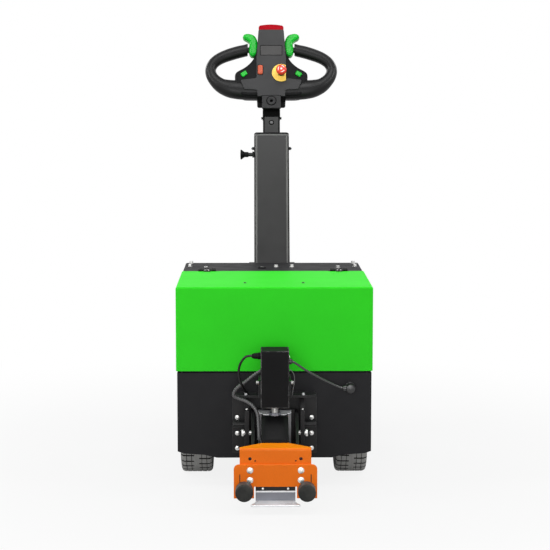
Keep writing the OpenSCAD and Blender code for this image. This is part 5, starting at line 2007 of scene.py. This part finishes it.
@dataclass
class Leads:
    """Motor leads, the ribbed conduit and a thin signal wire about the lift cover."""

    at: Matrix
    conduit_d: float = 10.0
    lead_d: float = 6.5
    wire_d: float = 2.4
    conduit_path: tuple[Point, ...] = (
        (-24, -63.7, 343), (-34, -63.7, 338), (-54, -67, 326), (-78, -72, 308), (-104, -71, 288),
        (-111, -71, 270), (-98, -73, 262), (-76, -80, 255), (-58, -90, 243), (-47, -102, 226),
        (-44, -120, 203), (-43, -140, 181), (-43, -152, 167))
    bend_from: Point = (-90.0, -72.0, 290.0)
    bend_to: Point = (-50.0, -100.0, 225.0)
    left_path: tuple[Point, ...] = (
        (-58, -107, 384), (-70, -107, 384), (-82, -106, 378), (-95, -100, 355), (-96, -92, 325),
        (-88, -84, 298), (-80, -66, 282), (-78, -50, 272))
    right_path: tuple[Point, ...] = (
        (43, -107, 369), (52, -106, 366), (86, -79, 339), (132, -51, 309), (178, -28, 284),
        (192, -25, 280))
    wire_path: tuple[Point, ...] = (
        (38, -100, 346), (45, -94, 341), (51, -84, 330), (53.5, -74, 316), (53, -66, 302),
        (50, -60, 285), (48, -58, 268))

    def build(self) -> None:
        """Build and dress the leads."""
        self.left()
        self.right()
        self.conduit()
        self.wire()

    def left(self) -> None:
        """Build the left lead with its gland and the grommet on the shelf."""
        part = Part("motor_lead_left", self.at, LEAD_BLACK)
        line = curve_through(self.left_path, 8)
        part.sweep(line, [self.lead_d / 2] * len(line), 16)
        gland = aimed((-38.0, -107.0, 384.0), (-1, 0, 0))
        part.paint(MOULDED).plate(circle((0, 0), 10.0, 6), 8.0, gland, edge=0.9)
        part.lathe([(0, 7), (8, 7), (8, 16), (7.2, 19), (5.2, 23), (4.2, 24), (0, 24)], gland, 32)
        grommet = aimed((-78.0, -48.0, 268.0), (0, 0, 1))
        part.lathe([(0, 0), (8, 0), (8, 2.4), (6.6, 3.2), (6.2, 5), (5.4, 8.4), (4.6, 9), (0, 9)],
                   grommet, 32)
        part.done("chassis", ["left_lead"])

    def right(self) -> None:
        """Build the right lead and its angled plug in the front panel."""
        part = Part("motor_lead_right", self.at, LEAD)
        line = curve_through(self.right_path, 10)
        part.sweep(line, [self.lead_d / 2] * len(line), 16)
        part.paint(PLUG_GREY)
        part.lathe([(0, 0), (8, 0), (8, 4.6), (7, 5.4), (6.4, 8.4), (5, 9), (0, 9)],
                   aimed((38.0, -107.0, 369.0), (1, 0, 0)), 32)
        part.lathe([(0, 0), (6.2, 0), (7.4, 1.4), (7.6, 5), (8, 6), (8, 20), (0, 20)],
                   aimed((186.0, -24.0, 280.0), (1, 0, 0)), 32)
        plug = aimed((208.0, 3.0, 280.0), (0, -1, 0))
        part.lathe([(0, 0), (13, 0), (13, 6), (12.2, 6.8), (12.2, 9), (13, 9.8), (13, 36), (11.6, 40),
                    (8, 41), (0, 41)], plug, 40)
        for k in range(6):
            ring = [(12.6, -0.9), (13, -0.5), (13, 0.5), (12.6, 0.9), (12.2, 0)]
            part.lathe(ring, plug @ Matrix.Translation((0, 0, 13 + 3.4 * k)), 40)
        part.done("chassis", ["right_lead"])

    def conduit(self) -> None:
        """Build the ribbed conduit, with its placement baked into its mesh."""
        part = Part("ribbed_conduit", self.at, CONDUIT)
        line = curve_through(self.conduit_path, 22)
        ribs = (0.5, 0.46, 0.4, 0.4, 0.46, 0.5)
        radii = [self.conduit_d * ribs[i % len(ribs)] for i in range(len(line))]
        part.sweep(line, radii, 20)
        piece = part.done(None, ["conduit"], 60)
        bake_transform(piece)

    def wire(self) -> None:
        """Build the thin wire that drops beside the cover to the shelf."""
        part = Part("signal_wire", self.at, WIRE)
        line = curve_through(self.wire_path, 8)
        part.sweep(line, [self.wire_d / 2] * len(line), 10)
        part.done("chassis")


@dataclass
class Studio:
    """Camera, soft lamps, white surroundings and a pale floor."""

    at: Matrix
    eye: Point = (-50.0, -4465.3, 1112.5)
    pitch: float = 6.682
    yaw: float = -0.662
    focal_px: float = 1650.0
    frame_px: float = 550.0
    ambient: float = 0.2
    floor_size: float = 16.0
    floor_gap: float = 0.0006
    floor_grey: float = 0.5
    floor_white: float = 0.86
    shadow_reach: Flat = (0.5, 1.9)

    def build(self) -> None:
        """Set up the studio."""
        bpy.context.scene.view_settings.view_transform = "Standard"
        self.camera()
        self.world()
        self.floor()
        self.lamp("front_softbox", (-0.7, -4.4, 1.3), (0.0, 0.0, 0.45), 2.2, 58.0)
        self.lamp("low_softbox", (0.3, -3.3, 0.42), (0.0, 0.0, 0.16), 0.8, 8.0)
        self.lamp("right_softbox", (2.7, -0.9, 2.4), (0.0, 0.3, 0.7), 1.0, 40.0)
        self.lamp("left_softbox", (-2.7, -0.7, 2.4), (0.0, 0.3, 0.7), 1.0, 46.0)
        self.lamp("overhead_softbox", (0.0, -0.95, 3.4), (0.0, 0.1, 0.5), 1.8, 46.0)
        self.lamp("rear_left_softbox", (-2.5, 2.9, 2.2), (0.0, 0.2, 0.6), 1.6, 42.0)
        self.lamp("rear_right_softbox", (2.5, 2.9, 2.2), (0.0, 0.2, 0.6), 1.6, 36.0)

    def camera(self) -> None:
        """Make the camera at the photograph's viewpoint."""
        data = bpy.data.cameras.new("camera")
        data.sensor_fit = "HORIZONTAL"
        data.angle = 2 * math.atan(self.frame_px / 2 / self.focal_px)
        data.clip_end = 100.0
        camera = bpy.data.objects.new("camera", data)
        bpy.context.scene.collection.objects.link(camera)
        camera.location = self.at @ Vector(self.eye) * MM
        camera.rotation_euler = (math.radians(90 - self.pitch), 0.0, math.radians(self.yaw))
        bpy.context.scene.camera = camera

    @staticmethod
    def seen(bench: Bench) -> Socket:
        """Tell rays that see the surroundings from rays that light the object.

        Args:
            bench: tree that asks.

        Returns:
            1 for camera, mirror and see-through rays and 0 for others.
        """
        rays = bench.nodes.new("ShaderNodeLightPath").outputs
        plain = bench.combine("MAXIMUM", rays["Is Camera Ray"], rays["Is Glossy Ray"])
        return bench.combine("MAXIMUM", plain, rays["Is Transmission Ray"])

    def world(self) -> None:
        """Make the surroundings white to the eye and dimmer as a light."""
        world = bpy.data.worlds.new("studio")
        world.use_nodes = True
        bench = Bench(world.node_tree)
        sky = bench.nodes["Background"]
        sky.inputs["Color"].default_value = WHITE
        level = bench.spread(self.seen(bench), UNIT, (self.ambient, 1.0))
        bench.links.new(level, sky.inputs["Strength"])
        bpy.context.scene.world = world

    def floor(self) -> None:
        """Make a pale floor that keeps a soft shadow and fades to white further out."""
        half = self.floor_size / 2
        data = bpy.data.meshes.new("floor")
        corners = [(-half, -half, 0.0), (half, -half, 0.0), (half, half, 0.0), (-half, half, 0.0)]
        data.from_pydata(corners, [], [(0, 1, 2, 3)])
        floor = bpy.data.objects.new("floor", data)
        floor.location.z = -self.floor_gap
        bpy.context.scene.collection.objects.link(floor)
        data.materials.append(self.floor_paint())

    def floor_paint(self) -> bpy.types.Material:
        """Make the floor's paint: matt where the shadow falls, plain white to the eye elsewhere.

        Returns:
            The Blender material.
        """
        paint = bpy.data.materials.new("floor_white")
        paint.use_nodes = True
        bench = Bench(paint.node_tree)
        matt = bench.nodes["Principled BSDF"]
        matt.inputs["Base Color"].default_value = (self.floor_grey,) * 3 + (1.0,)
        matt.inputs["Roughness"].default_value = 0.7
        matt.inputs["Specular IOR Level"].default_value = 0.1
        white = bench.nodes.new("ShaderNodeEmission")
        away = bench.nodes.new("ShaderNodeVectorMath")
        away.operation = "LENGTH"
        bench.links.new(bench.place, away.inputs[0])
        fade = bench.spread(away.outputs["Value"], self.shadow_reach, (self.floor_white, 1.0))
        fade.node.interpolation_type = "SMOOTHSTEP"
        share = bench.combine("MULTIPLY", fade, self.seen(bench))
        mix = bench.nodes.new("ShaderNodeMixShader")
        bench.links.new(share, mix.inputs["Fac"])
        bench.links.new(matt.outputs["BSDF"], mix.inputs[1])
        bench.links.new(white.outputs["Emission"], mix.inputs[2])
        bench.links.new(mix.outputs["Shader"], bench.nodes["Material Output"].inputs["Surface"])
        return paint

    @staticmethod
    def lamp(name: str, place: Point, target: Point, size: float, power: float) -> None:
        """Hang one square softbox.

        Args:
            name: its name.
            place: its place in metres.
            target: the point that it faces, in metres.
            size: its side in metres.
            power: its power in watts.
        """
        data = bpy.data.lights.new(name, "AREA")
        data.size = size
        data.energy = power
        lamp = bpy.data.objects.new(name, data)
        lamp.location = place
        aim = Vector(target) - Vector(place)
        lamp.rotation_euler = aim.to_track_quat("-Z", "Y").to_euler()
        bpy.context.scene.collection.objects.link(lamp)


def main() -> None:
    """Build the studio and every sub-assembly."""
    logging.basicConfig(level=logging.INFO, format="%(message)s")
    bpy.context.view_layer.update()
    placements = Placements.read()
    Studio(placements.body).build()
    Leads(placements.body).build()
    Body(placements.body).build()
    RunningGear(placements.body).build()
    Tiller(placements.tiller, placements.body).build()
    ControlHead(placements.tiller).build()
    Coupler(placements.body).build()


if __name__ == "__main__":
    main()
